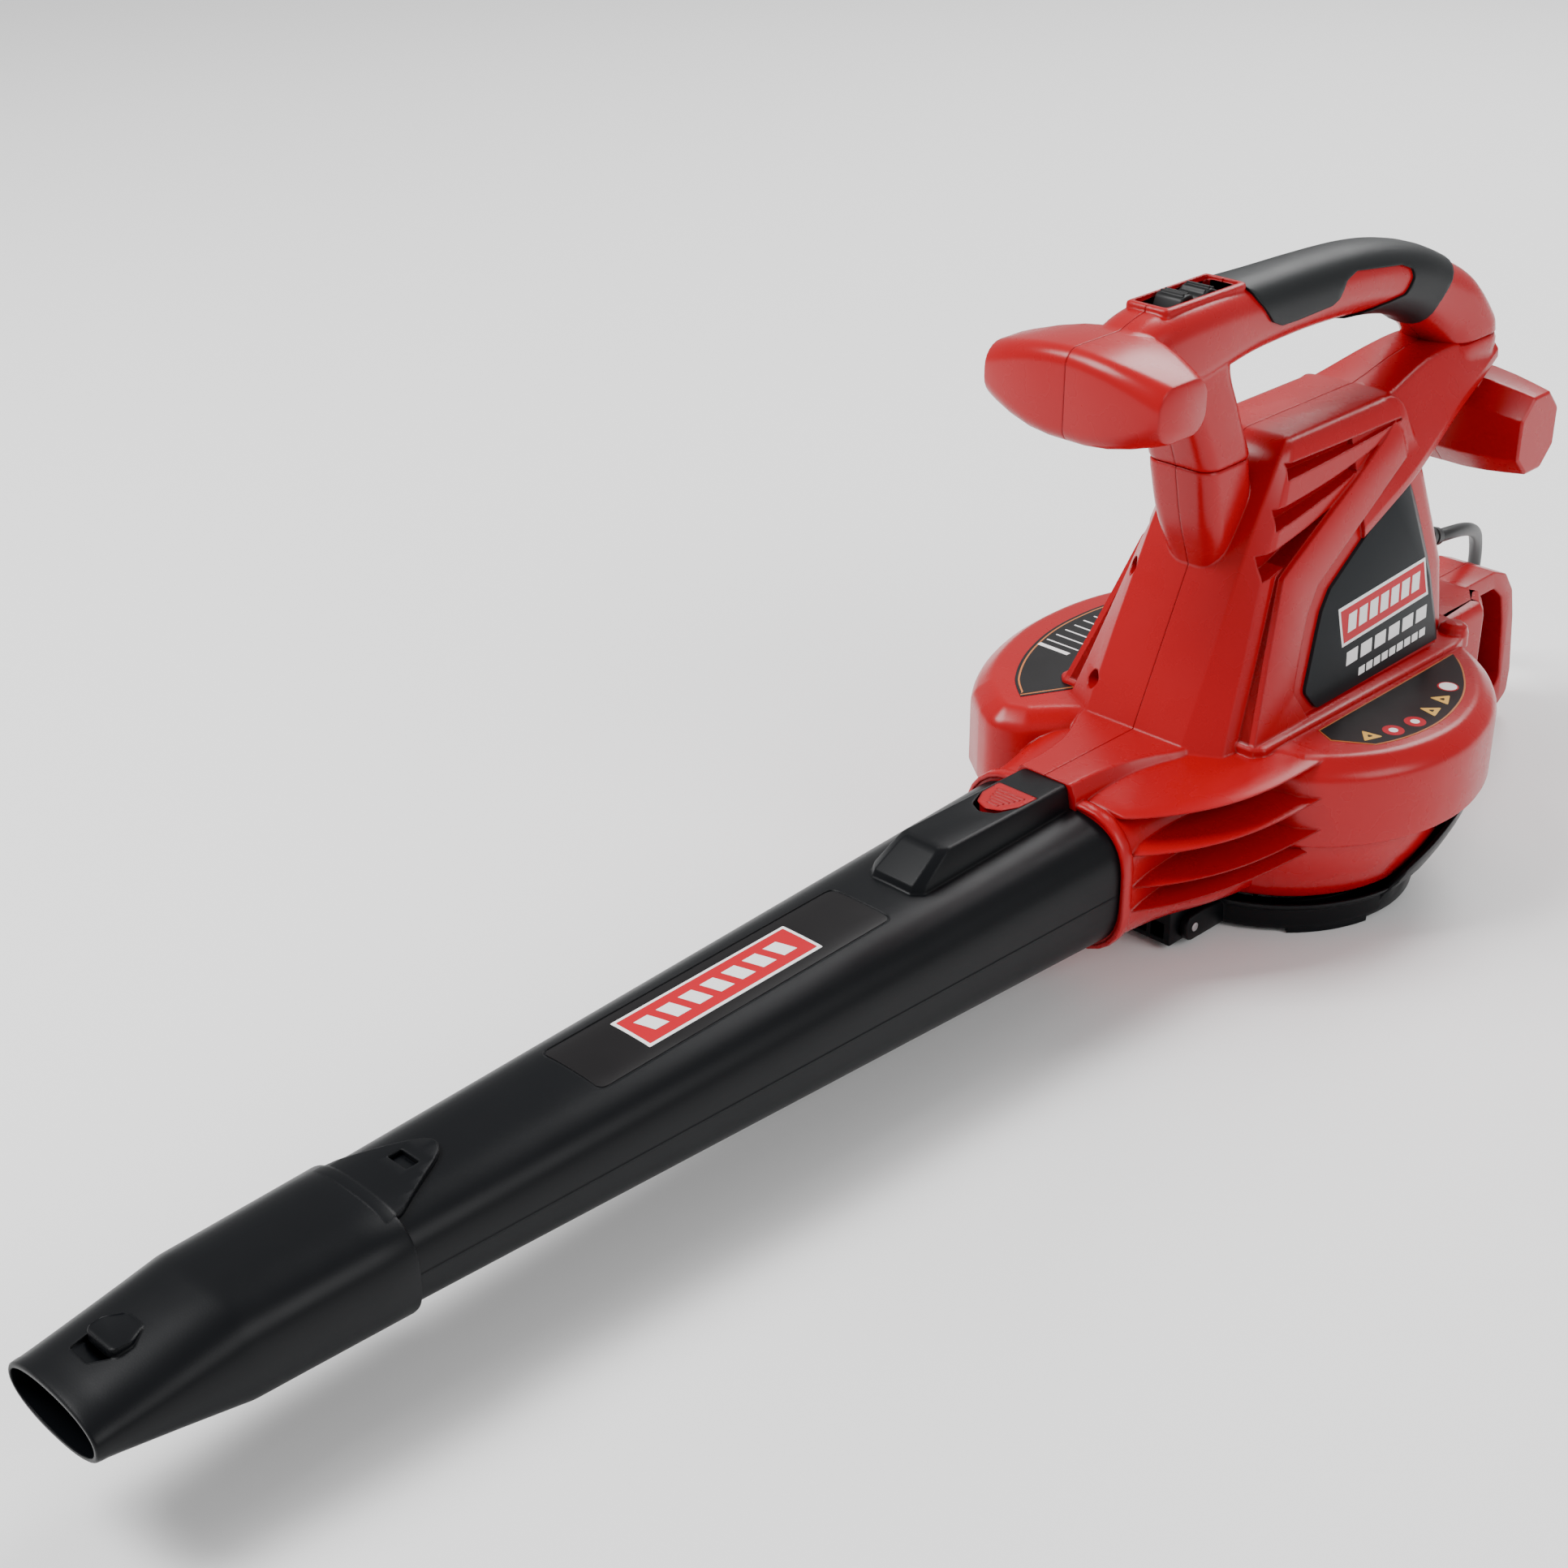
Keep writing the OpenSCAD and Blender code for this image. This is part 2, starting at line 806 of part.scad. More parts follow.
module impeller() {
    color(black)
        difference() {
            union() {
                at_axis(92)
                    cylinder(r = fan_r, h = 3, $fn = 96);
                at_axis(62)
                    cylinder(r = 14, h = 33, $fn = 48);
                for (i = [0:blade_count - 1])
                    at_axis(65)
                        rotate([0, 0, 360 * i / blade_count])
                            linear_extrude(28)
                                polygon(concat(blade_edge(1), blade_edge(-1)));
            }
            at_axis(61)
                cylinder(r = shaft_r, h = 40, $fn = 48);
        }
}

module impeller_nut() {
    color(steel)
        difference() {
            at_axis(55)
                cylinder(r = 8, h = 7, $fn = 6);
            at_axis(54)
                cylinder(r = 4, h = 9, $fn = 48);
        }
}

// ---------- tube and nozzle ----------

function tube_w(y) = lookup(y, [[tube_end_y, tube_end_hw], [-580, tube_end_hw + 2], [-170, 48.5]]);
function tube_h(y) = lookup(y, [[tube_end_y, tube_end_hh], [-580, tube_end_hh + 1.5], [-170, 36.5]]);
function tube_rings(t, ys) = [for (y = ys) cross_ring(0, y, tube_z, 0, tube_w(y) + t, tube_h(y) + t,
    tube_h(y) * 0.68 + t)];
tube_ys = [tube_end_y, -620, -600, -580, -540, -480, -420, -360, -304, -250, -210, -170];

module hump() {
    difference() {
        loft([flat_ring(0, -227.6, 80, 17, 56.2, 4), flat_ring(0, -222.6, 94, 16.5, 51.2, 4),
            flat_ring(0, -218.6, 103, 15, 47.2, 4), flat_ring(0, -215.6, 107.9, 12.5, 44.2, 4)]);
        translate([0, 0, 97])
            linear_extrude(20)
                polygon([[-12, -192], [12, -192], [11.5, -206], [7, -218], [0, -222], [-7, -218],
                    [-11.5, -206]]);
        translate([-6.8, -193, 98])
            cube([13.6, 30, 7.5]);
    }
}

module tube() {
    color(black) {
        difference() {
            union() {
                loft(tube_rings(0, tube_ys), true);
                hump();
                loft([for (y = [-176, -140]) cross_ring(0, y, tube_z, 0, 46.5, 34.5, 23)], true);
                translate([0, -567, 60])
                    linear_extrude(tube_h(-567) + 0.25)
                        polygon(rrect(7, 4, 3));
            }
            loft(tube_rings(-tube_wall, [tube_end_y - 1, -580, -174]), true);
            loft([for (y = [-174.1, -139]) cross_ring(0, y, tube_z, 0, 44.3, 32.3, 21)], true);
        }
    }
}

module tube_badge() {
    color([0.75, 0.1, 0.12])
        intersection() {
            difference() {
                loft(tube_rings(0.7, tube_ys), true);
                loft(tube_rings(0.02, tube_ys), true);
            }
            translate([0, -392, 70])
                linear_extrude(40)
                    polygon(rrect(17, 88, 6));
        }
}

module release_button() {
    color(red) {
        translate([0, 0, 101])
            linear_extrude(7)
                polygon([[-11.2, -192.6], [11.2, -192.6], [10.7, -205], [6.5, -213.5], [0, -216.5],
                    [-6.5, -213.5], [-10.7, -205]]);
        translate([-6, -193, 101])
            cube([12, 21, 3]);
    }
}

// round bar swept along a list of points
function unit(v) = v / norm(v);
function heading(route, i) = unit(route[min(i + 1, len(route) - 1)] - route[max(i - 1, 0)]);
function bar_ring(p, d, r, n) = let (u = unit(cross([0.13, 0.31, 1], d)), v = cross(d, u))
    [for (k = [0:n - 1]) p + r * (cos(360 * k / n) * u + sin(360 * k / n) * v)];
module bar(route, r, n = 10) {
    loft([for (i = [0:len(route) - 1]) bar_ring(route[i], heading(route, i), r, n)]);
}

module button_spring() {
    color(steel)
        bar([for (i = [0:40]) [3 * cos(36 * i), -203 + 3 * sin(36 * i), 97.5 + 3 * i / 40]], 0.4, 6);
}

module nozzle_rings(t, ends) {
    loft([cross_ring(0, nozzle_back_y - ends, tube_z, 0, tube_w(-588) + 2.6 + t,
            tube_h(-588) + 2.6 + t, 17 + t),
        cross_ring(0, -641, tube_z, 0, tube_end_hw + 2.6 + t, tube_end_hh + 2.6 + t, 16 + t),
        cross_ring(0, nozzle_break_y, tube_z, 0, tube_end_hw + 2 + t, tube_end_hh + 2 + t, 15 + t),
        cross_ring(0, (nozzle_break_y + mouth_y) / 2, tube_z, 0, (tube_end_hw + 2 + mouth_hw) / 2 + t,
            (tube_end_hh + 2 + mouth_hh) / 2 + t, 11 + t),
        cross_ring(0, mouth_y + ends, tube_z, 0, mouth_hw + t, mouth_hh + t, 8 + t)]);
}

module nozzle() {
    color(black) {
        difference() {
            nozzle_rings(0, 0);
            nozzle_rings(-2.2, -1);
        }
        difference() {
            intersection() {
                loft([for (y = [-600, -546]) cross_ring(0, y, tube_z, 0, tube_w(y) + 2.6,
                    tube_h(y) + 2.6, 17)], true);
                translate([0, 0, 70])
                    linear_extrude(30)
                        polygon([[-19, -592], [19, -592], [17, -575], [11, -558], [4, -549],
                            [-4, -549], [-11, -558], [-17, -575]]);
            }
            loft([for (y = [-601, -545]) cross_ring(0, y, tube_z, 0, tube_w(y) + 0.4,
                tube_h(y) + 0.4, 15)], true);
            translate([0, -567, 70])
                linear_extrude(30)
                    polygon(rrect(8.5, 3.5, 3));
        }
    }
}

// ---------- cord ----------

CORD = [[0, 182, 131], [0, 195, 129.5], [-2, 212, 126], [-6, 230, 120], [-12, 248, 111],
    [-19, 264, 99], [-25, 277, 84], [-30, 286, 67], [-34, 291, 50], [-39, 294, 34], [-48, 295, 19],
    [-62, 294, 8.5], [-80, 291, 4.5], [-100, 287, 4.5], [-120, 281, 5.5], [-140, 273, 9],
    [-158, 264, 12.2]];

module cord() {
    color(black)
        bar(CORD, cord_d / 2);
}

module strain_relief() {
    color(black) {
        translate([0, 118, gland_z])
            rotate([-90, 0, 0])
                cylinder(r = 7.2, h = 9, $fn = 32);
        translate([0, 125.2, gland_z])
            rotate([-90, 0, 0])
                cylinder(r = 10, h = 3, $fn = 32);
        translate([0, 126.5, gland_z - 0.6])
            rotate([-104.2, 0, 0])
                rotate_extrude($fn = 32)
                    polygon([[0, 0], [8.4, 0], [8.4, 6], [7.4, 8], [5.3, 57.1], [0, 57.1]]);
    }
}

module at_plug() {
    translate([-158, 264, 12.2])
        rotate([0, 90, 207])
            children();
}

module plug_body() {
    color(black)
        at_plug()
            rotate_extrude($fn = 48)
                polygon([[0, 0], [5.5, 0], [7, 12], [11, 16], [12, 20], [12, 40], [0, 40]]);
}

module plug_blades() {
    color(steel)
        for (side = [-1, 1])
            at_plug()
                translate([-3.2, side * 6.35 - 0.75, 40])
                    cube([6.4, 1.5, 17]);
}

// moves the drawing, made about the fan, to an origin midway between mouth and rear loop
module placed() {
    translate([0, mid_y, 0])
        children();
}

placed() housing_left();
placed() housing_right();
placed() lower_drum();
placed() handle_left();
placed() handle_right();
placed() grip();
placed() side_panel_left();
placed() side_panel_right();
placed() badge_right();
placed() deck_plate_left();
placed() deck_plate_right();
placed() speed_switch();
placed() switch_body();
placed() hinge_block();
placed() hinge_pin();
placed() intake_cover();
placed() intake_grille();
placed() motor_base();
placed() stator();
placed() field_coils();
placed() brush_holders();
placed() top_bracket();
placed() rotor();
placed() commutator();
placed() shaft();
placed() bearing_lower();
placed() bearing_upper();
placed() impeller();
placed() impeller_nut();
placed() tube();
placed() tube_badge();
placed() release_button();
placed() button_spring();
placed() nozzle();
placed() strain_relief();
placed() cord();
placed() plug_body();
placed() plug_blades();
placed() housing_screws();
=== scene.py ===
"""Looks of a corded leaf blower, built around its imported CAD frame. Sizes are in millimetres
about the fan, and place() turns them into metres in the frame."""
import math

import bmesh
import bpy
import numpy as np
from mathutils import Matrix, Vector


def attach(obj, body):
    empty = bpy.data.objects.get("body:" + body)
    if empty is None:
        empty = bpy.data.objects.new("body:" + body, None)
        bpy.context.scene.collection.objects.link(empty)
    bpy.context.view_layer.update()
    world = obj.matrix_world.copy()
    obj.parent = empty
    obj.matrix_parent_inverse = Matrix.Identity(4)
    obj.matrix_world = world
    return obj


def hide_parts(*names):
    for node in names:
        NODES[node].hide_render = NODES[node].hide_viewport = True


MM = 0.001
MID_Y = 235.0
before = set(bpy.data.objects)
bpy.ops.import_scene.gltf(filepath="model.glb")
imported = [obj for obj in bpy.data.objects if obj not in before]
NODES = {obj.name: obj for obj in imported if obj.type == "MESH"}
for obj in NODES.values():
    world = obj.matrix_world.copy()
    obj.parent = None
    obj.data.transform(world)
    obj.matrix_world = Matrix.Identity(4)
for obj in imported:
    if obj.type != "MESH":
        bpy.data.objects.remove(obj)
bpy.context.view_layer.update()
scene = bpy.context.scene


def place(point):
    """Point in millimetres about the fan, as metres in the frame."""
    return (float(point[0]) * MM, (float(point[1]) + MID_Y) * MM, float(point[2]) * MM)


# ---------------------------------------------------------------- camera, floor and light

camera = bpy.data.objects.new("camera", bpy.data.cameras.new("camera"))
scene.collection.objects.link(camera)
camera.data.lens = 56.2
camera.data.sensor_width = 36
camera.data.clip_end = 60
CAMERA_AT = (660.3, -1015.8, 666.5)
AZIMUTH, ELEVATION, ROLL = 44.9, 27.83, -0.4
camera.matrix_world = (
    Matrix.Translation(place(CAMERA_AT))
    @ Matrix.Rotation(math.radians(AZIMUTH), 4, "Z")
    @ Matrix.Rotation(math.radians(90 - ELEVATION), 4, "X")
    @ Matrix.Rotation(math.radians(ROLL), 4, "Z")
)
scene.camera = camera


def area_light(name, spot, aim, size, power):
    """Soft square light at spot, turned towards aim."""
    light = bpy.data.lights.new(name, "AREA")
    light.size = size
    light.energy = power
    obj = bpy.data.objects.new(name, light)
    obj.location = spot
    obj.rotation_euler = (Vector(aim) - Vector(spot)).to_track_quat("-Z", "Y").to_euler()
    scene.collection.objects.link(obj)


area_light("key", (-1.2, -1.36, 2.6), (0, 0.03, 0.1), 1.3, 118)
area_light("fill", (2.4, 0.43, 1.6), (0, 0.23, 0.12), 1.4, 34)
area_light("back", (-0.6, 2.43, 2.4), (0, 0.23, 0.15), 1.6, 86)
world = bpy.data.worlds.new("studio")
world.use_nodes = True
world.node_tree.nodes["Background"].inputs["Color"].default_value = (1, 1, 1, 1)
world.node_tree.nodes["Background"].inputs["Strength"].default_value = 0.5
scene.world = world


# ---------------------------------------------------------------- materials


class Shader:
    """A Principled material with helpers for the nodes that feed it."""

    def __init__(self, name, color, roughness, metallic=0.0, **constants):
        self.material = bpy.data.materials.new(name)
        self.material.use_nodes = True
        self.tree = self.material.node_tree
        self.bsdf = self.tree.nodes["Principled BSDF"]
        self.color = color
        self.bsdf.inputs["Base Color"].default_value = (*color, 1)
        self.bsdf.inputs["Roughness"].default_value = roughness
        self.bsdf.inputs["Metallic"].default_value = metallic
        for socket, value in constants.items():
            self.bsdf.inputs[socket.replace("_", " ")].default_value = value
        self.coordinates = self.node("ShaderNodeTexCoord").outputs["Object"]
        self.normal = None

    def node(self, kind, **values):
        made = self.tree.nodes.new(kind)
        for key, value in values.items():
            if key in made.inputs:
                made.inputs[key].default_value = value
            else:
                setattr(made, key, value)
        return made

    def link(self, a, b):
        self.tree.links.new(a, b)

    def noise(self, scale, detail=4.0):
        made = self.node("ShaderNodeTexNoise", Scale=scale, Detail=detail)
        self.link(self.coordinates, made.inputs["Vector"])
        return made.outputs["Fac"]

    def spread(self, value, low, high):
        made = self.node("ShaderNodeMapRange")
        made.inputs["To Min"].default_value = low
        made.inputs["To Max"].default_value = high
        self.link(value, made.inputs["Value"])
        return made.outputs["Result"]

    def vary_color(self, scale, amount):
        """Slow change of brightness over the surface, as moulded plastic has."""
        mix = self.node("ShaderNodeMix", data_type="RGBA")
        dark = [c * (1 - amount) for c in self.color]
        light = [min(1.0, c * (1 + amount)) for c in self.color]
        sockets = [s for s in mix.inputs if s.name in ("A", "B") and s.type == "RGBA"]
        sockets[0].default_value = (*dark, 1)
        sockets[1].default_value = (*light, 1)
        self.link(self.noise(scale, 2.0), mix.inputs["Factor"])
        out = [s for s in mix.outputs if s.type == "RGBA"][0]
        self.link(out, self.bsdf.inputs["Base Color"])
        return self

    def vary_roughness(self, scale, low, high):
        self.link(self.spread(self.noise(scale, 3.0), low, high), self.bsdf.inputs["Roughness"])
        return self

    def bump(self, height, strength, distance):
        made = self.node("ShaderNodeBump", Strength=strength, Distance=distance)
        self.link(height, made.inputs["Height"])
        if self.normal is not None:
            self.link(self.normal, made.inputs["Normal"])
        self.normal = made.outputs["Normal"]
        self.link(self.normal, self.bsdf.inputs["Normal"])
        return self

    def grain(self, scale, strength, distance=0.0002):
        """Fine spark texture of a moulded part."""
        return self.bump(self.noise(scale, 3.0), strength, distance)

    def soft_edges(self, radius):
        """Rounds the shading where surfaces of one piece meet."""
        made = self.node("ShaderNodeBevel", samples=4)
        made.inputs["Radius"].default_value = radius
        self.normal = made.outputs["Normal"]
        self.link(self.normal, self.bsdf.inputs["Normal"])
        return self


def moulded(name, color, roughness, edge=0.0012, grain=0.12, scale=2600, **constants):
    shader = Shader(name, color, roughness, **constants)
    shader.soft_edges(edge)
    shader.vary_color(9, 0.05)
    shader.vary_roughness(55, roughness - 0.035, roughness + 0.045)
    shader.grain(scale, grain)
    return shader.material


RED = moulded("red_plastic", (0.36, 0.0006, 0.0045), 0.27, 0.0014, 0.03, 2400, Specular_IOR_Level=0.3)
BLACK = moulded("black_satin", (0.0022, 0.0027, 0.0037), 0.36, 0.0012, 0.12, 1700, Specular_IOR_Level=0.15)
BLACK_FINE = moulded("black_fine", (0.004, 0.004, 0.0045), 0.42, 0.0008, 0.15, 2200,
                     Specular_IOR_Level=0.24)
PANEL_GREY = moulded("panel_grey", (0.009, 0.011, 0.013), 0.4, 0.0005, 0.08, 2600, Specular_IOR_Level=0.25)
RUBBER = moulded("soft_rubber", (0.004, 0.0052, 0.0062), 0.46, 0.0008, 0.2, 2800, Specular_IOR_Level=0.24)
CORD_RUBBER = moulded("cord_rubber", (0.014, 0.015, 0.016), 0.42, 0.0004, 0.12, 2400,
                      Specular_IOR_Level=0.3)


def printed(name, color, roughness=0.35, grain=0.04, **inputs):
    """Thin printed film of a badge or plate."""
    return moulded(name, color, roughness, 0.0002, grain, 1500, **inputs)


FILM_BLACK = printed("film_black", (0.005, 0.0042, 0.0048), 0.3, 0.03, Specular_IOR_Level=0.22)
FILM_RED = printed("film_red", (0.48, 0.0015, 0.014), 0.3, 0.03, Specular_IOR_Level=0.25)
FILM_WHITE = printed("film_white", (0.86, 0.86, 0.86))
FILM_YELLOW = printed("film_yellow", (0.75, 0.42, 0.05))
FILM_ORANGE = printed("film_orange", (0.45, 0.13, 0.02))


def metal(name, color, roughness, streak):
    shader = Shader(name, color, roughness, 1.0)
    shader.vary_color(40, 0.08)
    shader.vary_roughness(streak, roughness - 0.06, roughness + 0.1)
    shader.grain(900, 0.12)
    return shader.material


STEEL = metal("turned_steel", (0.62, 0.62, 0.64), 0.3, 160)
IRON = metal("laminated_iron", (0.33, 0.33, 0.35), 0.45, 220)
DARK_METAL = metal("cast_frame", (0.16, 0.16, 0.17), 0.5, 120)
COPPER = metal("wound_copper", (0.72, 0.33, 0.17), 0.35, 260)
BRASS = metal("plain_brass", (0.75, 0.56, 0.25), 0.32, 180)

floor_shader = Shader("floor_paper", (0.9, 0.9, 0.9), 0.75)
floor_shader.vary_color(1.5, 0.006)
floor_shader.grain(300, 0.02)
bpy.ops.mesh.primitive_plane_add(size=40, location=(0, 0, 0))
floor = bpy.context.object
floor.name = "floor"
floor.data.materials.append(floor_shader.material)


# ---------------------------------------------------------------- mesh helpers


def make(name, verts, faces, material=None):
    """New object from points in millimetres."""
    mesh = bpy.data.meshes.new(name)
    mesh.from_pydata([place(v) for v in verts], [], faces)
    obj = bpy.data.objects.new(name, mesh)
    scene.collection.objects.link(obj)
    edit = bmesh.new()
    edit.from_mesh(mesh)
    bmesh.ops.recalc_face_normals(edit, faces=edit.faces)
    edit.to_mesh(mesh)
    edit.free()
    if material:
        mesh.materials.append(material)
    return obj


def skin(name, rings, material=None, loop=False):
    """Closed skin through rings of equal length; loop joins the last ring to the first."""
    rings = [np.array(r, float) for r in rings]
    n, m = len(rings[0]), len(rings)
    verts = np.concatenate(rings)
    faces = []
    for k in range(m if loop else m - 1):
        a, b = k * n, (k + 1) % m * n
        faces += [(a + i, a + (i + 1) % n, b + (i + 1) % n, b + i) for i in range(n)]
    if not loop:
        faces += [tuple(range(n)), tuple(range((m - 1) * n, m * n))]
    return make(name, verts, faces, material)


def between(keys, steps):
    """Rings on a smooth curve through the key rings."""
    keys = [np.array(k, float) for k in keys]
    along = [0.0]
    for a, b in zip(keys, keys[1:]):
        along.append(along[-1] + max(float(np.linalg.norm(b.mean(0) - a.mean(0))), 0.1))
    last = len(keys) - 1
    slopes = []
    for i in range(last + 1):
        lo, hi = max(i - 1, 0), min(i + 1, last)
        slopes.append((keys[hi] - keys[lo]) / (along[hi] - along[lo]))
    out = []
    for i in range(last):
        d = along[i + 1] - along[i]
        for t in np.arange(steps) / steps:
            t2, t3 = t * t, t * t * t
            out.append(keys[i] * (2 * t3 - 3 * t2 + 1) + keys[i + 1] * (3 * t2 - 2 * t3)
                       + d * slopes[i] * (t3 - 2 * t2 + t) + d * slopes[i + 1] * (t3 - t2))
    out.append(keys[-1])
    return out


def rrect(w, h, r, n=7):
    """Rounded rectangle of half sizes w and h, anticlockwise."""
    r = min(r, w, h)
    points = []
    for quarter in range(4):
        cx = (w - r) * (1 if quarter in (0, 3) else -1)
        cy = (h - r) * (1 if quarter < 2 else -1)
        for i in range(n):
            a = math.radians(90 * (quarter + i / (n - 1)))
            points.append((cx + r * math.cos(a), cy + r * math.sin(a)))
    return points


def cross_ring(x, y, z, pitch, w, h, r, n=7):
    """Ring across the y direction, pitched about x."""
    a = math.radians(pitch)
    return [(x + p, y - q * math.sin(a), z + q * math.cos(a)) for p, q in rrect(w, h, r, n)]


def oval_ring(y, z, w, h, power, n=56):
    """Ring across the y direction between an ellipse (power 2) and a rectangle."""
    ring = []
    for k in range(n):
        c, q = math.cos(2 * math.pi * k / n), math.sin(2 * math.pi * k / n)
        ring.append((math.copysign(w * abs(c) ** (2 / power), c), y,
                     z + math.copysign(h * abs(q) ** (2 / power), q)))
    return ring


def side_ring(x, y, z, w, h, r, n=7):
    return [(x, y + p, z + q) for p, q in rrect(w, h, r, n)]


def flat_ring(x, y, z, w, h, r, n=7):
    return [(x + p, y + q, z) for p, q in rrect(w, h, r, n)]


def fillet(points, radius, n=5):
    """Closed outline with its corners rounded; radius is one number or one for each corner."""
    points = [np.array(p, float) for p in points]
    radii = radius if hasattr(radius, "__len__") else [radius] * len(points)
    out = []
    for i, p in enumerate(points):
        if radii[i] == 0:
            out.append(p)
            continue
        a = points[i - 1] - p
        b = points[(i + 1) % len(points)] - p
        la, lb = np.linalg.norm(a), np.linalg.norm(b)
        cosine = np.clip(a @ b / (la * lb), -1, 1)
        reach = min(radii[i] / max(math.tan(math.acos(cosine) / 2), 0.05), 0.45 * la, 0.45 * lb)
        reach = max(reach, 0.03)
        start, end = p + a / la * reach, p + b / lb * reach
        for t in np.linspace(0, 1, n):
            out.append((1 - t) ** 2 * start + 2 * t * (1 - t) * p + t * t * end)
    return out


def prism(name, outline, low, high, axis="z", material=None):
    """Straight solid over a flat outline, from low to high along the axis."""
    spot = {
        "x": lambda p, s: (s, p[0], p[1]),
        "y": lambda p, s: (p[0], s, p[1]),
        "z": lambda p, s: (p[0], p[1], s),
    }[axis]
    return skin(name, [[spot(p, s) for p in outline] for s in (low, high)], material)


def rod(name, a, b, radius, n=32, material=None, end_radius=None):
    """Round solid from point a to point b."""
    a, b = np.array(a, float), np.array(b, float)
    d = (b - a) / np.linalg.norm(b - a)
    u = np.cross(d, (0.13, 0.31, 1.0) if abs(d[2]) < 0.9 else (1.0, 0.2, 0.1))
    u /= np.linalg.norm(u)
    v = np.cross(d, u)
    rings = []
    for p, r in ((a, radius), (b, end_radius or radius)):
        angles = [2 * math.pi * k / n for k in range(n)]
        rings.append([p + r * (math.cos(t) * u + math.sin(t) * v) for t in angles])
    return skin(name, rings, material)


def lathe(name, profile, centre, n=96, material=None, low=0.0, high=360.0):
    """Solid of revolution about the upright axis through centre (x, y)."""
    whole = high - low >= 360
    count = n if whole else n + 1
    rings = []
    for k in range(count):
        a = math.radians(low + (high - low) * k / n)
        rings.append([(centre[0] + r * math.cos(a), centre[1] + r * math.sin(a), z)
                      for r, z in profile])
    return skin(name, rings, material, loop=whole)


def applied(obj):
    """Turns the modifiers of obj into plain mesh."""
    graph = bpy.context.evaluated_depsgraph_get()
    mesh = bpy.data.meshes.new_from_object(obj.evaluated_get(graph))
    obj.modifiers.clear()
    obj.data = mesh
    return obj


def combine(obj, others, operation):
    """Boolean of obj with each of the others, which are used up."""
    for other in others:
        modifier = obj.modifiers.new("boolean", "BOOLEAN")
        modifier.operation = operation
        modifier.solver = "EXACT"
        modifier.object = other
        applied(obj)
        bpy.data.objects.remove(other)
    return obj


def cut(obj, *others):
    return combine(obj, others, "DIFFERENCE")


def common(obj, *others):
    return combine(obj, others, "INTERSECT")


def bevel(obj, width, segments=3, angle=32):
    modifier = obj.modifiers.new("edges", "BEVEL")
    modifier.width = width * MM
    modifier.segments = segments
    modifier.limit_method = "ANGLE"
    modifier.angle_limit = math.radians(angle)
    modifier.use_clamp_overlap = True
    modifier.miter_outer = "MITER_ARC"
    return applied(obj)


def shade(obj, angle=28):
    obj.data.shade_smooth()
    obj.data.set_sharp_from_angle(angle=math.radians(angle))
    return obj


def from_edit(edit, name, mesh_name, materials):
    """New object from an edited mesh, which is used up."""
    mesh = bpy.data.meshes.new(mesh_name)
    edit.to_mesh(mesh)
    edit.free()
    for material in materials:
        mesh.materials.append(material)
    made = bpy.data.objects.new(name, mesh)
    scene.collection.objects.link(made)
    return made


def join(name, objects):
    """One object from several, which are used up."""
    edit = bmesh.new()
    materials = []
    for obj in objects:
        offset = len(edit.faces)
        names = list(obj.data.materials)
        edit.from_mesh(obj.data)
        edit.faces.ensure_lookup_table()
        for face in edit.faces[offset:]:
            material = names[face.material_index] if names else None
            if material not in materials:
                materials.append(material)
            face.material_index = materials.index(material)
        bpy.data.objects.remove(obj)
    return from_edit(edit, name, name, materials)


def half(obj, side, gap=0.12):
    """The part of a closed solid on one side of the plane x = 0, closed again."""
    edit = bmesh.new()
    edit.from_mesh(obj.data)
    geometry = edit.verts[:] + edit.edges[:] + edit.faces[:]
    bmesh.ops.bisect_plane(edit, geom=geometry, plane_co=(side * gap * MM, 0, 0),
                           plane_no=(-side, 0, 0), clear_outer=True)
    edges = [e for e in edit.edges if e.is_boundary]
    if edges:
        bmesh.ops.holes_fill(edit, edges=edges, sides=0)
    if not edit.faces:
        edit.free()
        return None
    return from_edit(edit, obj.name + "_half", obj.name, obj.data.materials)


def settle(obj, body, slot, *nodes, angle=28):
    """Last step of each piece: smooth shading, body and the CAD nodes it stands for; slot is not used."""
    shade(obj, angle)
    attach(obj, body)
    if nodes:
        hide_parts(*nodes)
    return obj


def split_pair(name, shells, body, slot, left_node, right_node):
    """Left and right mouldings of a shell that parts on the plane x = 0."""
    for side, node in ((-1, left_node), (1, right_node)):
        halves = [half(shell, side) for shell in shells]
        piece = join("%s_%s" % (name, "left" if side < 0 else "right"), [h for h in halves if h])
        settle(piece, body, slot, node)
    for shell in shells:
        bpy.data.objects.remove(shell)


# ---------------------------------------------------------------- fan housing

FAN_X = 20.0
RIM = ((-50, 99), (-20, 102.5), (0, 105), (20, 108.5), (45, 115), (65, 122), (90, 130.5),
       (115, 138), (140, 144.5), (165, 149.5), (185, 152.5), (205, 157.5), (225, 164))
RIM_ANGLES = [a for a, r in RIM]
RIM_RADII = [r for a, r in RIM]


def scroll(inset, low, high, count):
    """Points on the fan scroll, inset from its rim."""
    points = []
    for a in np.linspace(low, high, count):
        r = float(np.interp(a, RIM_ANGLES, RIM_RADII)) - inset
        points.append((FAN_X + r * math.cos(math.radians(a)), r * math.sin(math.radians(a))))
    return points


def offset(outline, inset):
    """Outline of an anticlockwise loop moved inwards."""
    p = np.array(outline, float)
    t = np.roll(p, -1, 0) - np.roll(p, 1, 0)
    t /= np.linalg.norm(t, axis=1)[:, None]
    return p + inset * np.stack([-t[:, 1], t[:, 0]], 1)


def stack(name, outline, profile, material):
    """Closed skin over one outline, moved inwards and lifted by each pair of the profile."""
    rings = [[(x, y, z) for x, y in offset(outline, inset)] for inset, z in profile]
    return skin(name, rings, material)


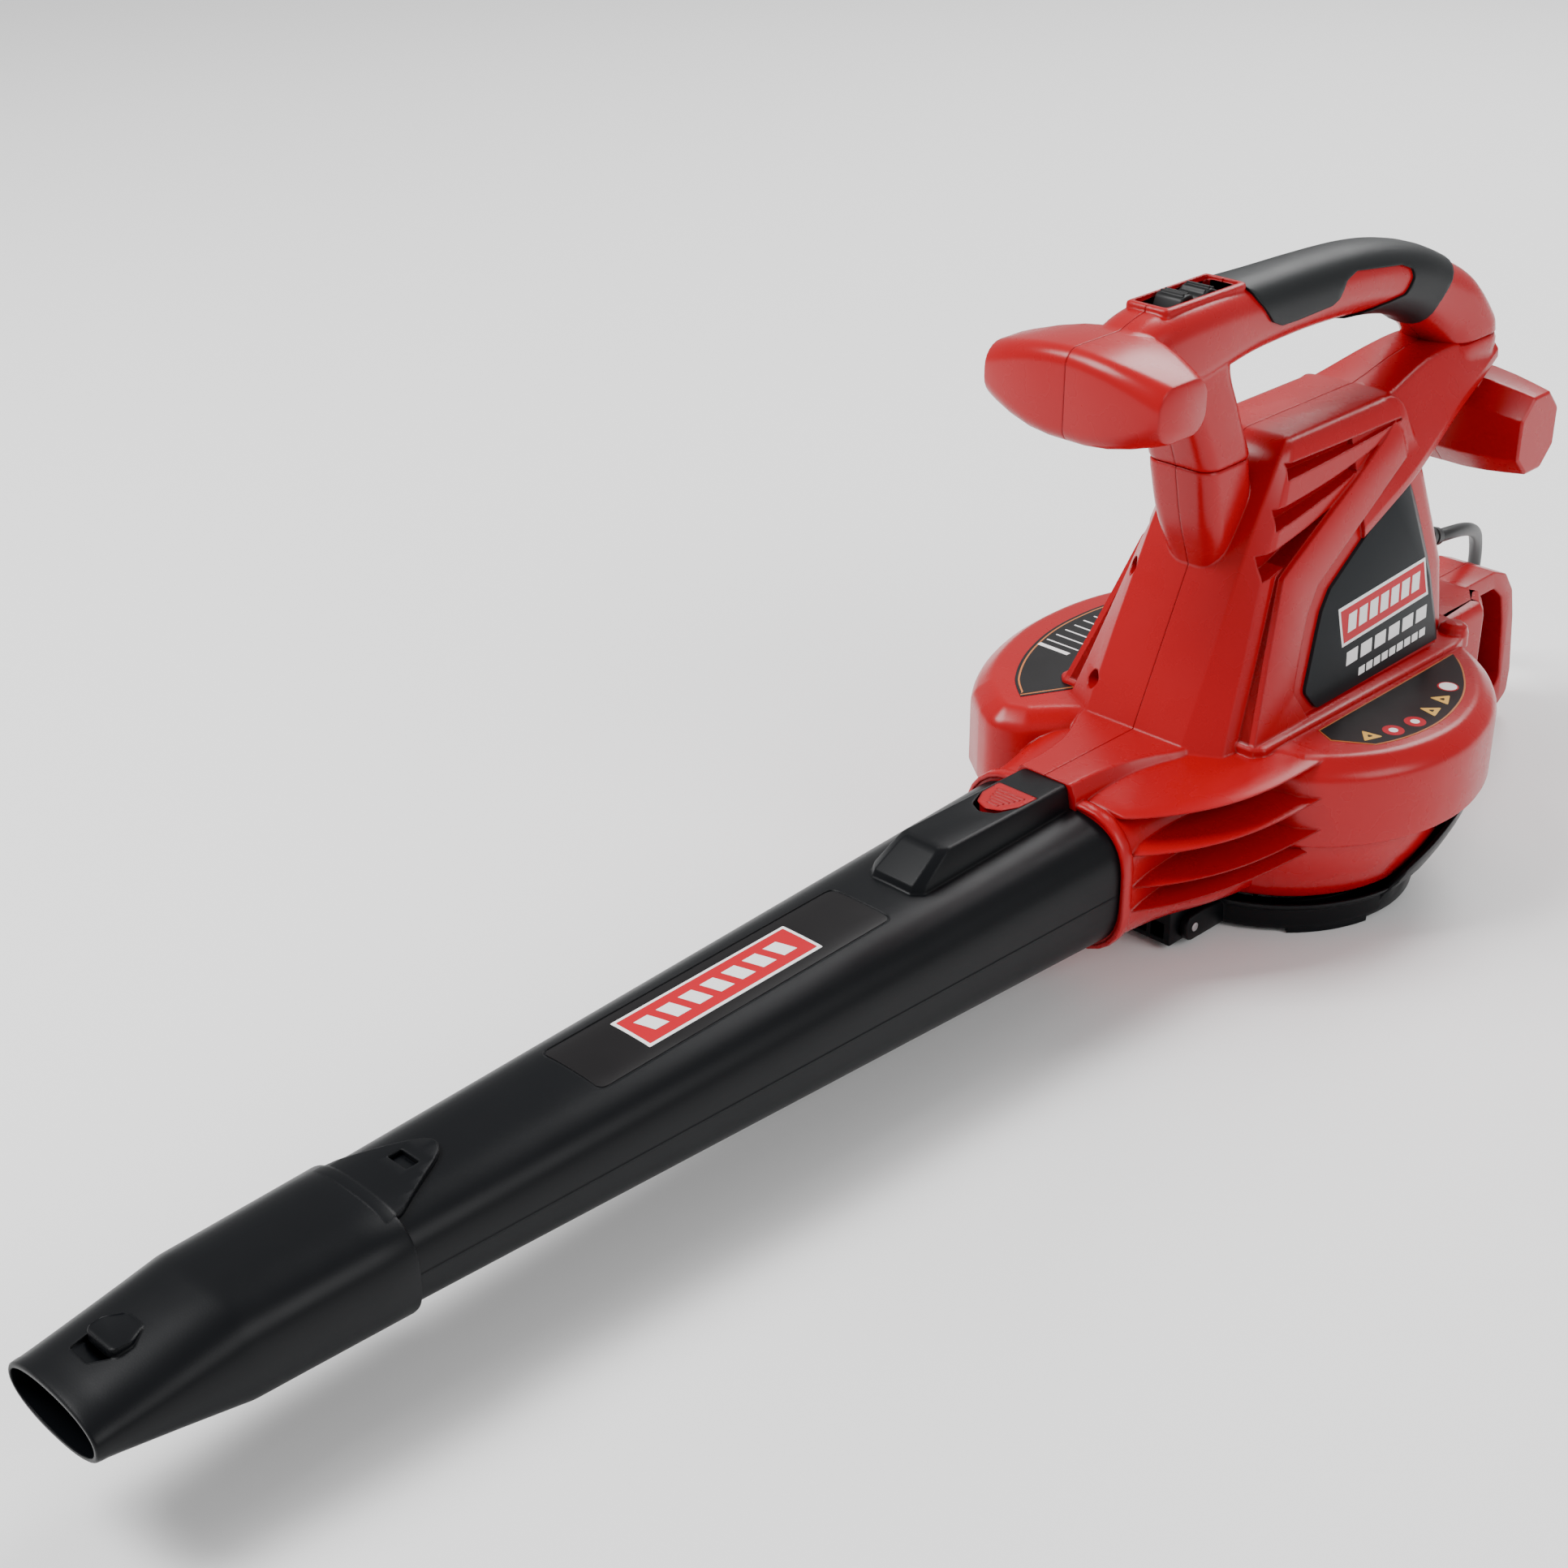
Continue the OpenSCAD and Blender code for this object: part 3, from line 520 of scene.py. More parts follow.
def doubled(side):
    """Closed outline from its right half."""
    return side + [(-x, y) for x, y in side[::-1]]


def housing_plan():
    front = ((-80, -128), (-66, -136), (-48, -128), (-30, -108), (30, -96), (56, -86), (73, -78))
    return fillet(scroll(0, -50, 225, 150) + list(front), [0.0] * 150 + [14] * 7, 4)


def volute():
    plan = housing_plan()
    profile = [(5, 61.6), (1.2, 61.8), (0.3, 62.6), (0, 64), (0, 75), (0, 88), (0, 97.5), (0.35, 99.6),
               (1.3, 101.6), (3.2, 103.6), (6.5, 106.2), (8.6, 107.8), (10.4, 108.7), (12.6, 109)]
    return stack("volute", plan, profile, RED)


def neck():
    keys = [cross_ring(0, -170, 60, 0, 50, 38, 26), cross_ring(0, -150, 60, 0, 50.5, 38, 25),
            cross_ring(0, -125, 61, 0, 53, 39, 22), cross_ring(3, -95, 62, 0, 58, 39, 18),
            cross_ring(4, -60, 62, 0, 62, 39, 16)]
    return skin("neck", between(keys, 6), RED)


def collar():
    """Turned lip that the tube plugs into."""
    profile = ((-171, 0.2), (-170.6, 1.2), (-169.6, 1.7), (-165, 1.7), (-163.8, 1.2), (-163, -2))
    outer = [cross_ring(0, y, 60, 0, 50 + t, 38 + t, 26 + t) for y, t in profile]
    inner = [cross_ring(0, y, 60, 0, 49.2, 37.2, 25.2) for y in (-163, -171)]
    return skin("collar", outer + inner, RED, loop=True)


def channel():
    """Raised flat strip from the collar to the foot of the motor housing."""
    stations = ((-171.5, 14.8), (-160, 15), (-146, 16.2), (-130, 19.5), (-116, 25), (-106, 30), (-90, 34))
    keys = []
    for y, w in stations:
        side = [(w, 108.9), (w + 1.4, 108.2), (w + 4.5, 102), (w + 5.5, 84)]
        outline = side[::-1] + [(-x, z) for x, z in side]
        keys.append([(x, y, z) for x, z in fillet(outline, [1, 3, 1, 1, 1, 1, 3, 1], 4)])
    return skin("channel", between(keys, 5), RED)


def strake(name, start, end, bow, root, inner=24):
    """One blade beside the neck, from a point on the neck to a sharp tip over the scroll."""
    rings = []
    (x0, y0, z0), (x1, y1, z1) = start, end
    for t in np.linspace(0, 1, 30):
        y = y0 + (y1 - y0) * t
        edge = x0 + (x1 - x0) * t + bow * math.sin(math.pi * t ** 0.75)
        z = z0 + (z1 - z0) * t ** 0.8
        drop = 0.4 + (root - 0.4) * min(1, t * 5)
        rings.append([(inner, y, z - drop), (inner, y, z + 2), (edge - 12, y, z + 0.9), (edge - 1.2, y, z),
                      (edge, y, z - 0.6), (edge - 1.4, y, z - 1.5), (edge - 7, y, z - 2.4),
                      (edge - 14, y, z - drop)])
    return skin(name, rings, RED)


def strakes():
    return [
        strake("strake_1", (42, -162, 97), (88, -58, 108.2), 16, 7, 8),
        strake("strake_2", (50.5, -163, 80), (93.5, -66, 91), 13, 5),
        strake("strake_3", (50.5, -163, 62), (94, -67, 73), 12, 5),
        strake("strake_4", (50, -163, 48), (90, -71, 60), 9, 5),
    ]


def side_x(z):
    """Half width of the raised strap and panel on the motor housing at height z."""
    return float(np.interp(z, (104, 150, 200, 232, 250), (62, 51.5, 41, 34.5, 27)))


BODY_LEVELS = (
    (103, -104.5, 30, 50, -94.5, 52, -87, 96, 34, 126), (127, -93, 30, 46, -82.5, 48.3, -75, 95, 33, 125),
    (150, -82, 30, 43, -71, 44.8, -64, 94, 32, 124), (175, -70, 29.5, 39.4, -59.5, 40.8, -53, 88, 29, 116),
    (200, -58, 29, 36, -48.5, 37, -43, 82, 26, 106), (220, -47, 28.5, 34, -39, 34.8, -34, 77, 24, 95),
    (238, -36.5, 28, 31.6, -30.5, 32.2, -27, 71, 22, 83),
    (244.5, -31, 27, 29.4, -26.5, 30, -24, 68, 21, 79),
    (248, -26.5, 25.6, 27.2, -23.4, 27.8, -21.5, 65, 20, 76),
    (249.6, -23, 23.6, 24.6, -21, 25.2, -19, 62, 19, 73),
    (250, -20, 21, 21.8, -18.6, 22.4, -17, 59, 17, 70),
)


def motor_shell():
    """Front plane, two bevels, leaning sides and a bowed rear."""
    rings = []
    for z, front, fw, mx, my, sx, sy, rear, rw, back in BODY_LEVELS:
        side = [(fw, front), (mx, my), (sx, sy), (sx, rear), ((sx + rw) / 2 + 5, (rear + back) / 2 + 4),
                (rw * 0.6, back)]
        radii = [2.5, 3.5, 5, 8, 13, 13]
        loop = fillet(doubled(side), radii + radii[::-1], 5)
        rings.append([(x, y, z) for x, y in loop])
    return skin("motor_shell", rings, RED)


def outer_shell(grow, material):
    """Leaning block whose sides are those of the strap and the panel."""
    rings = []
    for z, rear in ((104, 98), (150, 96), (200, 84), (232, 78), (250, 66)):
        w = side_x(z) + grow
        side = [(w, -130), (w, rear - 8), (w - 4, rear), (w * 0.5, rear + 14)]
        loop = fillet(doubled(side), [1, 3, 4, 4, 4, 4, 3, 1], 5)
        rings.append([(x, y, z) for x, y in loop])
    return skin("outer_shell", rings, material)


def body_x(y, z):
    """Half width of the motor shell at a place on its side."""
    table = np.array(BODY_LEVELS)
    front, fw, mx, my, sx, sy = [float(np.interp(z, table[:, 0], table[:, k])) for k in range(1, 7)]
    return float(np.interp(y, (front, my, sy), (fw, mx, sx)))


def louvre_tools():
    """Wedges that cut the fanned air slots, each with a square notch at its front."""
    tools = []
    for side in (-1, 1):
        for y, z, tall, y2, z2 in ((-31, 236, 7, 72, 238), (-42, 214, 9.5, 70, 233),
                                   (-54, 192, 11, 67, 228)):
            rings = []
            for t in np.linspace(0, 1, 14):
                yy = y + (y2 - y) * t
                zz = z + (z2 - z) * t - 5 * math.sin(math.pi * t) * (240 - z) / 50
                h = tall / 2 * (1 - t) ** 0.8 + 0.7
                x_in = body_x(yy, zz) - 9 * (1 - t) ** 0.8 - 1.2
                rings.append([(side * x_in, yy, zz - h), (side * 75, yy, zz - h), (side * 75, yy, zz + h),
                              (side * (x_in + 2.5 * (1 - t)), yy, zz + h)])
            tools.append(skin("slot", rings, RED))
    return tools


def screw_recess(y, z):
    """Round recess in the left bevel of the motor housing."""
    return rod("recess", (-29.5, y + 8, z), (-40, y - 13, z), 4.8, 32)


def motor_housing():
    body = motor_shell()
    cut(body, *louvre_tools())
    return cut(body, screw_recess(-66.5, 178), screw_recess(-93, 123))


def on_side(name, windows, proud, material, side=1):
    """Plates over the side of the motor housing, one for each outline, proud of the strap's face."""
    shell = outer_shell(proud, material)
    low, high = sorted((side * 14, side * 90))
    plates = common(shell, join("windows", [prism("window", w, low, high, "x", material) for w in windows]))
    plates.name = name
    return plates


FRAME_OUT = ((-85, 103), (-82, 112), (-44, 186), (-36, 190), (26, 218), (76, 243), (92, 240),
             (96, 103))
FRAME_IN = ((-35, 112), (-45, 128), (-27, 163), (-16, 175), (66, 215), (110, 236), (110, 111))
PANEL = ((-25, 113.5), (-33.5, 124), (-12, 160), (-3, 169), (68, 205), (77, 205), (87, 188),
         (93, 170), (94, 126), (92, 115))


def side_frame(side):
    """Raised strap round the recess of the side panel, and the floor of that recess."""
    low, high = sorted((side * 10, side * 95))
    strap = on_side("side_strap", [fillet(FRAME_OUT, 4, 5)], 0, RED, side)
    cut(strap, prism("hole", fillet(FRAME_IN, 4, 5), low, high, "x", RED))
    bevel(strap, 1.0, 3, 40)
    floor_plate = on_side("recess", [fillet(FRAME_OUT, 4, 5)], -3.2, RED, side)
    return [strap, floor_plate]


def pedestal():
    """Ledge at the foot of the strap with a rounded boss at each rear corner."""
    outline = [(24, -84), (60, -84), (65, -79), (66.5, 98), (62, 116), (52, 124), (34, 129)]
    profile = ((0, 103), (0, 110.5), (0.7, 111.6), (2.2, 112.2))
    parts = [stack("pedestal", fillet(doubled(outline), 4, 5), profile, RED)]
    for side in (-1, 1):
        profile = ((0, 104), (8.5, 104), (8.3, 112), (7.2, 115), (4.6, 116.8), (0, 117.3))
        parts.append(lathe("boss", profile, (side * 55.5, 112), 40, RED))
    return parts


def arm():
    """Strut that carries the strap on to the collar of the handle, wider at its lower edge."""
    rings = []
    for y, low, lw, high, hw in ((30, 186, 43, 245, 27), (55, 195, 41.5, 247, 25.5),
                                 (80, 204, 39.5, 251, 23), (112, 215.5, 34, 257, 19.5),
                                 (140, 226, 29, 259, 18.5), (165, 234, 25, 257, 18),
                                 (186, 241, 21, 252, 16)):
        loop = fillet([(lw, low), (lw - 0.5, low + 6), (hw, high), (-hw, high), (-lw + 0.5, low + 6),
                       (-lw, low)], [2, 3, 4, 4, 3, 2], 5)
        rings.append([(x, y, z) for x, z in loop])
    return skin("arm", between(rings, 4), RED)


def socket():
    """Collar under the rear end of the handle."""
    stations = ((228, 19, 22), (240, 21, 25.5), (250, 22, 27), (254.5, 22, 27.2), (256.6, 21.4, 26.6),
                (257.6, 20, 25))
    return skin("socket", [flat_ring(0, 165 - (z - 228) * 0.04, z, w, h, 17) for z, w, h in stations], RED)


def cross_bar(name, y, z, dy, stations):
    """Bar across the machine from shared half stations (x, half y, half z, corner)."""
    right = [side_ring(x, y + dy * x / 52, z, w, h, r) for x, w, h, r in stations]
    left = [[(-p[0], *p[1:]) for p in ring] for ring in right[:0:-1]]
    return skin(name, left + right, RED)


def chamfered(x, y, z, w, h, c, radius=2.5):
    """Ring across the x direction with straight corners."""
    corners = [(w, h - c), (w - c, h), (c - w, h), (-w, h - c), (-w, c - h), (c - w, -h), (w - c, -h),
               (w, c - h)]
    return [(x, y + p, z + q) for p, q in fillet(corners, radius, 5)]


def rear_bar():
    stations = ((0, 24, 27, 13), (14, 23.8, 26.8, 13), (28, 22.6, 25.6, 12.6), (40, 21, 24, 12),
                (48.5, 19.6, 22.7, 11.4), (51, 19.2, 22.3, 11.2), (52, 18, 21, 10.6))
    right = [chamfered(x, 188 - 4 * x / 52, 206, w, h, c) for x, w, h, c in stations]
    left = [[(-p[0], *p[1:]) for p in ring] for ring in right[:0:-1]]
    return skin("rear_bar", left + right, RED)


def rear_box():
    loop = fillet([(-40, 112), (40, 112), (40, 174), (29, 190), (-29, 190), (-40, 174)], 4, 5)
    profile = ((3, 24), (0.8, 24.6), (0, 26.5), (0, 96), (0.5, 99.5), (2.6, 103), (5, 104.2), (8, 104.4))
    return stack("rear_box", loop, profile, RED)


def rear_loop():
    outside = fillet([(150, 102.6), (221, 102.6), (236, 97), (246, 84), (251, 66), (257, 28), (256, 13),
                      (247, 7), (236, 7), (196, 24), (150, 24)], 6, 4)
    inside = fillet([(190, 91), (223, 91), (233, 83), (238, 66), (244, 28), (240, 20), (205, 34),
                     (190, 37)], 5, 4)
    solid = prism("rear_loop", outside, -19, 19, "x", RED)
    cut(solid, prism("gap", inside, -30, 30, "x", RED))
    return bevel(solid, 2.2, 3)


def pillar_foot():
    keys = [flat_ring(0, -50, 186, 15, 13, 11), flat_ring(0, -51, 196, 18, 16, 11),
            flat_ring(0, -55, 215, 19.8, 19, 10), flat_ring(0, -61, 240, 20.3, 19.2, 9)]
    rings = between(keys, 5)
    rings += [flat_ring(0, -61.6, 243.6, 20.3, 19.2, 9), flat_ring(0, -61.8, 244.6, 19.7, 18.6, 8.5)]
    return skin("pillar_foot", rings, RED)


def build_housing():
    shells = [volute(), neck(), collar(), channel(), motor_housing(), arm(), socket(), rear_bar(),
              rear_box(), rear_loop(), pillar_foot()]
    shells += strakes() + pedestal() + side_frame(1) + side_frame(-1)
    split_pair("housing", shells, "housing", "red_shell", "housing_left", "housing_right")


def build_drum():
    profile = ((56, 30), (56, 23.2), (57.2, 22), (77, 22), (79.5, 22.4), (81.6, 24.2), (87, 33),
               (90.5, 39.5), (93.2, 46), (95.2, 53), (96, 58), (96.2, 61.5), (90, 61.5), (84, 30))
    drum = lathe("lower_drum_shell", profile, (FAN_X, 0), 144, RED)
    settle(drum, "housing", "red_shell", "lower_drum")


# ---------------------------------------------------------------- handle


def handle_rings(grow):
    """Rings along the top handle, from the cross bar to the collar at its rear."""
    keys = [(-138, 302, 8, 17, 20, 12), (-112, 307.5, 8, 19.5, 22, 13), (-80, 310.5, 4, 20, 20.5, 13),
            (-45, 312, 2, 18.5, 18.5, 14), (-20, 312.2, 1, 17.8, 17.8, 14.5),
            (15, 311.8, -1, 17.5, 17.5, 15), (50, 310, -5, 17.5, 17.5, 15),
            (80, 306, -11, 17.5, 17.5, 15), (106, 299, -20, 17.8, 18, 15), (128, 289, -32, 18.2, 19, 15),
            (150, 276, -50, 19.5, 21.5, 15), (163.5, 262, -80, 21, 25.5, 16),
            (165, 258.2, -90, 21.4, 26.3, 17)]
    rings = [cross_ring(0, y, z, pitch, w + grow, h + grow, r + grow) for y, z, pitch, w, h, r in keys]
    return between(rings, 7)


def front_bar():
    stations = [(0, 25.5, 22.5, 8), (10, 25.4, 22.2, 8), (22, 24.4, 21, 8.5), (34, 22.4, 18.6, 9.5),
                (44, 20, 15.8, 10.5), (49.4, 18.4, 14, 11), (50.6, 17.9, 13.4, 11), (51.2, 16.6, 12, 10)]
    return cross_bar("front_bar", -146, 302, -4, stations)


def pillar_top():
    keys = [flat_ring(0, -61.8, 245.2, 19.8, 18.8, 8.6), flat_ring(0, -62.2, 247, 20.4, 19.5, 9),
            flat_ring(0, -68, 260, 19.9, 19.4, 9), flat_ring(0, -75, 275, 19.2, 20.4, 9),
            flat_ring(0, -84, 290, 18.4, 26, 13), flat_ring(0, -92, 303, 17.6, 33, 13)]
    return skin("pillar_top", between(keys, 5), RED)


def switch_rim():
    """Raised frame round the rocker, hollow inside."""
    outline = fillet([(-12.6, -114), (12.6, -114), (12.6, -50), (-12.6, -50)], 3.5, 5)
    profile = ((-1.5, 312), (0, 322), (0, 330.8), (0.4, 331.8), (1.4, 332.4))
    return stack("switch_rim", outline, profile, RED)


def well():
    outline = fillet([(-9.8, -110.8), (9.8, -110.8), (9.8, -53.2), (-9.8, -53.2)], 2.5, 5)
    return prism("well", outline, 313, 345, "z", RED)


def build_handle():
    grip_bar = skin("handle_bar", handle_rings(0), RED)
    rim = switch_rim()
    cut(rim, well())
    cut(grip_bar, well())
    split_pair("handle", [grip_bar, front_bar(), pillar_top(), rim], "housing", "red_shell",
               "handle_left", "handle_right")


GRIP = ((-62, 352), (-48, 324), (-36, 311), (-28, 307.5), (-14, 307), (16, 307.5), (22, 310), (28, 318),
        (38, 320.5), (80, 315), (90, 311), (92, 306), (86, 298.5), (66, 295.5), (44, 291), (36, 284),
        (60, 274), (112, 268), (118, 286), (132, 299), (151, 318), (112, 348))


def build_grip():
    radii = [1, 6, 4, 5, 5, 5, 4, 4, 5, 5, 4, 4, 4, 5, 5, 1, 1, 1, 8, 8, 1, 1]
    grip = skin("soft_grip", handle_rings(1.5), RUBBER)
    common(grip, prism("grip_side", fillet(GRIP, radii, 5), -40, 40, "x", RUBBER))
    bevel(grip, 0.55, 2, 40)
    settle(grip, "housing", "soft_grip", "grip", angle=35)


def build_rocker():
    """Two-lobed ribbed rocker."""
    outline = [(-98, 320.5), (-66, 320.5), (-65, 326), (-67.5, 331.2), (-73.5, 333.4), (-80, 330.2),
               (-84, 329.4), (-90, 334.2), (-96.2, 333), (-99, 327)]
    body = prism("speed_rocker", fillet(outline, 3, 6), -7.8, 7.8, "x", BLACK_FINE)
    bevel(body, 0.9, 3)
    parts = [body]
    for y, z, lean in ((-93.4, 333.9, 14), (-90.2, 333.8, 0), (-87, 331.8, -30), (-76.6, 332.2, 26),
                       (-73.2, 333.3, 0), (-69.9, 332.4, -22)):
        a = math.radians(lean)
        up = np.array((math.sin(a), math.cos(a)))
        across = np.array((up[1], -up[0]))
        base = np.array((y, z))
        corners = [base - across * 0.7 - up * 1.5, base + across * 0.7 - up * 1.5,
                   base + across * 0.45 + up * 0.9, base - across * 0.45 + up * 0.9]
        parts.append(prism("rib", fillet([tuple(c) for c in corners], 0.3, 3), -6.6, 6.6, "x", BLACK_FINE))
    parts.append(rod("pivot", (-9.6, -82, 319), (9.6, -82, 319), 1.6, 24, STEEL))
    settle(join("speed_rocker_cap", parts), "rocker", "black_trim", "speed_switch")


# ---------------------------------------------------------------- side panels, badge and plates


def build_panels():
    for side, node in ((-1, "side_panel_left"), (1, "side_panel_right")):
        panel = on_side("side_panel_" + ("left" if side < 0 else "right"), [fillet(PANEL, 4, 6)], -1.2,
                        PANEL_GREY, side)
        bevel(panel, 0.5, 2, 40)
        settle(panel, "housing", "dark_panel", node)


def slanted(y0, z0, width, tall, rise, inset=0.0):
    """Corners of a slanted field, inset on every side."""
    i = inset
    return [(y0 + i, z0 + i), (y0 + width - i, z0 + rise + i), (y0 + width - i, z0 + rise + tall - i),
            (y0 + i, z0 + tall - i)]


def row(y0, z0, length, tall, rise, count, gap):
    """Row of plain slanted blocks in place of wording."""
    step = length / count
    lean = 0.3 * tall
    blocks = [slanted(y0 + k * step, z0 + rise * k / count, step - gap, tall, rise / count)
              for k in range(count)]
    return [[a, b, (c[0] + lean, c[1]), (d[0] + lean, d[1])] for a, b, c, d in blocks]


def build_side_badge():
    layers = []
    for outlines, proud, material in (
            ([slanted(2, 137, 83, 20, 4)], -1.0, FILM_WHITE),
            ([slanted(2, 137, 83, 20, 4, 1.7)], -0.88, FILM_RED),
            (row(8, 143, 71, 9, 3.4, 7, 2.6), -0.76, FILM_WHITE),
            (row(4, 126.5, 80, 6.6, 3, 6, 3), -1.0, FILM_WHITE),
            (row(14, 118.4, 66, 3.8, 2.4, 9, 1.6), -1.0, FILM_WHITE)):
        layers.append(on_side("badge_layer", outlines, proud, material))
    settle(join("side_badge", layers), "housing", "badge", "badge_right")


def crescent(inset, low, high, inner, count=40):
    """Deck plate between an arc of the scroll and a chord."""
    arc = scroll(inset, low, high, count)
    return arc + inner


def build_plates():
    base = [(79.9, -43.5)] + crescent(17.5, -22, 57, [(68.4, 90), (68.8, 60), (69, -38)])
    border = prism("plate_border", base, 108.6, 109.25, "z", FILM_ORANGE)
    inner = [tuple(p) for p in offset(base, 0.9)]
    field = prism("plate_field", inner, 108.6, 109.4, "z", FILM_BLACK)
    layers = [border, field]
    for k, angle in enumerate((-20, -9, 3, 15, 26, 37)):
        r = float(np.interp(angle, RIM_ANGLES, RIM_RADII)) - 26.5
        x = FAN_X + r * math.cos(math.radians(angle))
        y = r * math.sin(math.radians(angle))
        turns = 28 if k in (1, 2, 5) else 3
        if turns == 3:
            signs = ((6.6, 109.5, FILM_YELLOW), (2.0, 109.6, FILM_BLACK))
        elif k == 5:
            signs = ((5.6, 109.5, FILM_RED), (4.7, 109.6, FILM_WHITE))
        else:
            signs = ((5.6, 109.5, FILM_RED), (2.4, 109.6, FILM_WHITE))
        for size, height, material in signs:
            turned = [2 * math.pi * i / turns + math.radians(angle) + math.pi for i in range(turns)]
            points = [(x + size * math.cos(a), y + size * math.sin(a)) for a in turned]
            if turns == 3:
                points = [tuple(p) for p in fillet(points, 0.7, 4)]
            layers.append(prism("sign", points, 109, height, "z", material))
    settle(join("deck_plate_of_signs", layers), "housing", "dark_plate", "deck_plate_right")

    left = crescent(23, 150, 233, [(-50, -84), (-63, -60), (-66, 40)])
    layers = [prism("plate_border", left, 108.6, 109.25, "z", FILM_BLACK),
              prism("plate_line", [tuple(p) for p in offset(left, 1.6)], 108.6, 109.32, "z", FILM_ORANGE),
              prism("plate_field", [tuple(p) for p in offset(left, 2.6)], 108.6, 109.4, "z", FILM_BLACK)]
    for k in range(11):
        y = 28 - 8.4 * k
        wide = 26 - 1.1 * abs(k - 5)
        thick = 3.2 if k in (0, 10) else 1.1
        x = -88 - 0.2 * k
        layers.append(prism("bar", [(x - wide / 2, y), (x + wide / 2, y), (x + wide / 2, y + thick),
                                    (x - wide / 2, y + thick)], 109, 109.48, "z", FILM_WHITE))
    settle(join("deck_plate_of_bars", layers), "housing", "dark_plate", "deck_plate_left")


# ---------------------------------------------------------------- tube, latch hump and nozzle


TUBE_Z = 60.0
TUBE_FRONT = -640
LABEL_Y = np.linspace(-490, -290, 20)


def tube_w(y):
    return float(np.interp(y, (-640, -580, -170), (32, 34, 48.5)))


def tube_h(y):
    return float(np.interp(y, (-640, -580, -170), (22.5, 24, 36.5)))


def tube_ring(y, grow):
    return oval_ring(y, TUBE_Z, tube_w(y) + grow, tube_h(y) + grow, np.interp(y, (-640, -170), (2.75, 3.3)))


def build_tube():
    outer = [tube_ring(TUBE_FRONT, -0.6)] + [tube_ring(y, 0) for y in np.linspace(-639.4, -170, 60)]
    outer += [oval_ring(y, TUBE_Z, 46.5, 34.5, 3.3) for y in (-169.9, -140)]
    inner = [oval_ring(y, TUBE_Z, 44.3, 32.3, 3.3) for y in (-140, -172)]
    inner += [tube_ring(y, -2.2) for y in (-176, -580, TUBE_FRONT)]
    tube = skin("blower_tube_shell", outer + inner, BLACK, loop=True)
    label = prism("label_recess", fillet([(-19.5, -481), (19.5, -481), (19.5, -303), (-19.5, -303)], 5, 6),
                  70, 110, "z", BLACK)
    sheet = skin("label_depth", [tube_ring(y, -0.45) for y in LABEL_Y], BLACK)
    cut(label, sheet)
    cut(tube, label)
    parts = [tube]
    line = ((-0.6, -0.3), (0.22, -0.25), (0.22, 0.25), (-0.6, 0.3))
    for side in (-1, 1):
        seam = [[(side * (tube_w(y) + d), y, TUBE_Z + z) for d, z in line]
                for y in np.linspace(-590, -171, 30)]
        parts.append(skin("seam", seam, BLACK))
    parts.append(prism("nub", rrect_at(0, -567, 4.6, 2.2, 1), 70, TUBE_Z + tube_h(-567) + 0.3, "z", BLACK))
    parts.append(hump())
    settle(join("blower_tube", parts), "blower_tube", "black_shell", "tube")


def rrect_at(x, y, w, h, r):
    return [(x + p, y + q) for p, q in rrect(w, h, r, 5)]


def hump():
    """Bevelled block on the tube that holds the release button."""
    def ring(front, rear, w, z, nose):
        corners = [(w, rear), (-w, rear), (-w, front + nose), (-w + nose, front), (w - nose, front),
                   (w, front + nose)]
        return [(x, y, z) for x, y in fillet(corners, 1.6, 4)]
    levels = [(-286, 17.4, 80, 5), (-284, 17, 92, 5), (-281.5, 16.6, 96.5, 5), (-266, 14.6, 106, 4.2),
              (-263.5, 13.8, 107.4, 4), (-261.5, 12.6, 108, 3.6)]
    block = skin("hump", [ring(f, -171.4, w, z, nose) for f, w, z, nose in levels], BLACK)
    pocket = fillet([(-12.2, -191.8), (12.2, -191.8), (11.8, -206), (7.4, -217.5), (0, -221.5),
                     (-7.4, -217.5), (-11.8, -206)], [0.8, 0.8, 5, 5, 4, 5, 5], 5)
    cut(block, prism("pocket", pocket, 98, 120, "z", BLACK))
    return block


def build_button():
    outline = fillet([(-11.2, -192.6), (11.2, -192.6), (10.7, -205), (6.5, -213.5), (0, -216.5),
                      (-6.5, -213.5), (-10.7, -205)], [0.8, 0.8, 4, 4, 4, 4, 4], 6)
    cap = stack("button_cap", outline, ((0, 101), (0, 107), (0.3, 107.7), (1, 108)), RED)
    parts = [cap, prism("catch", [(-6, -193), (6, -193), (6, -172), (-6, -172)], 101, 104, "z", BLACK)]
    for k in range(6):
        y = -197.5 - 2.7 * k
        w = 8.4 - 0.9 * k - (0.6 if k > 3 else 0)
        rib = [(-w, y - 0.55), (w, y - 0.55), (w, y + 0.55), (-w, y + 0.55)]
        parts.append(prism("rib", rib, 107, 108.45, "z", RED))
    settle(join("release_cap", parts), "button", "red_shell", "release_button")


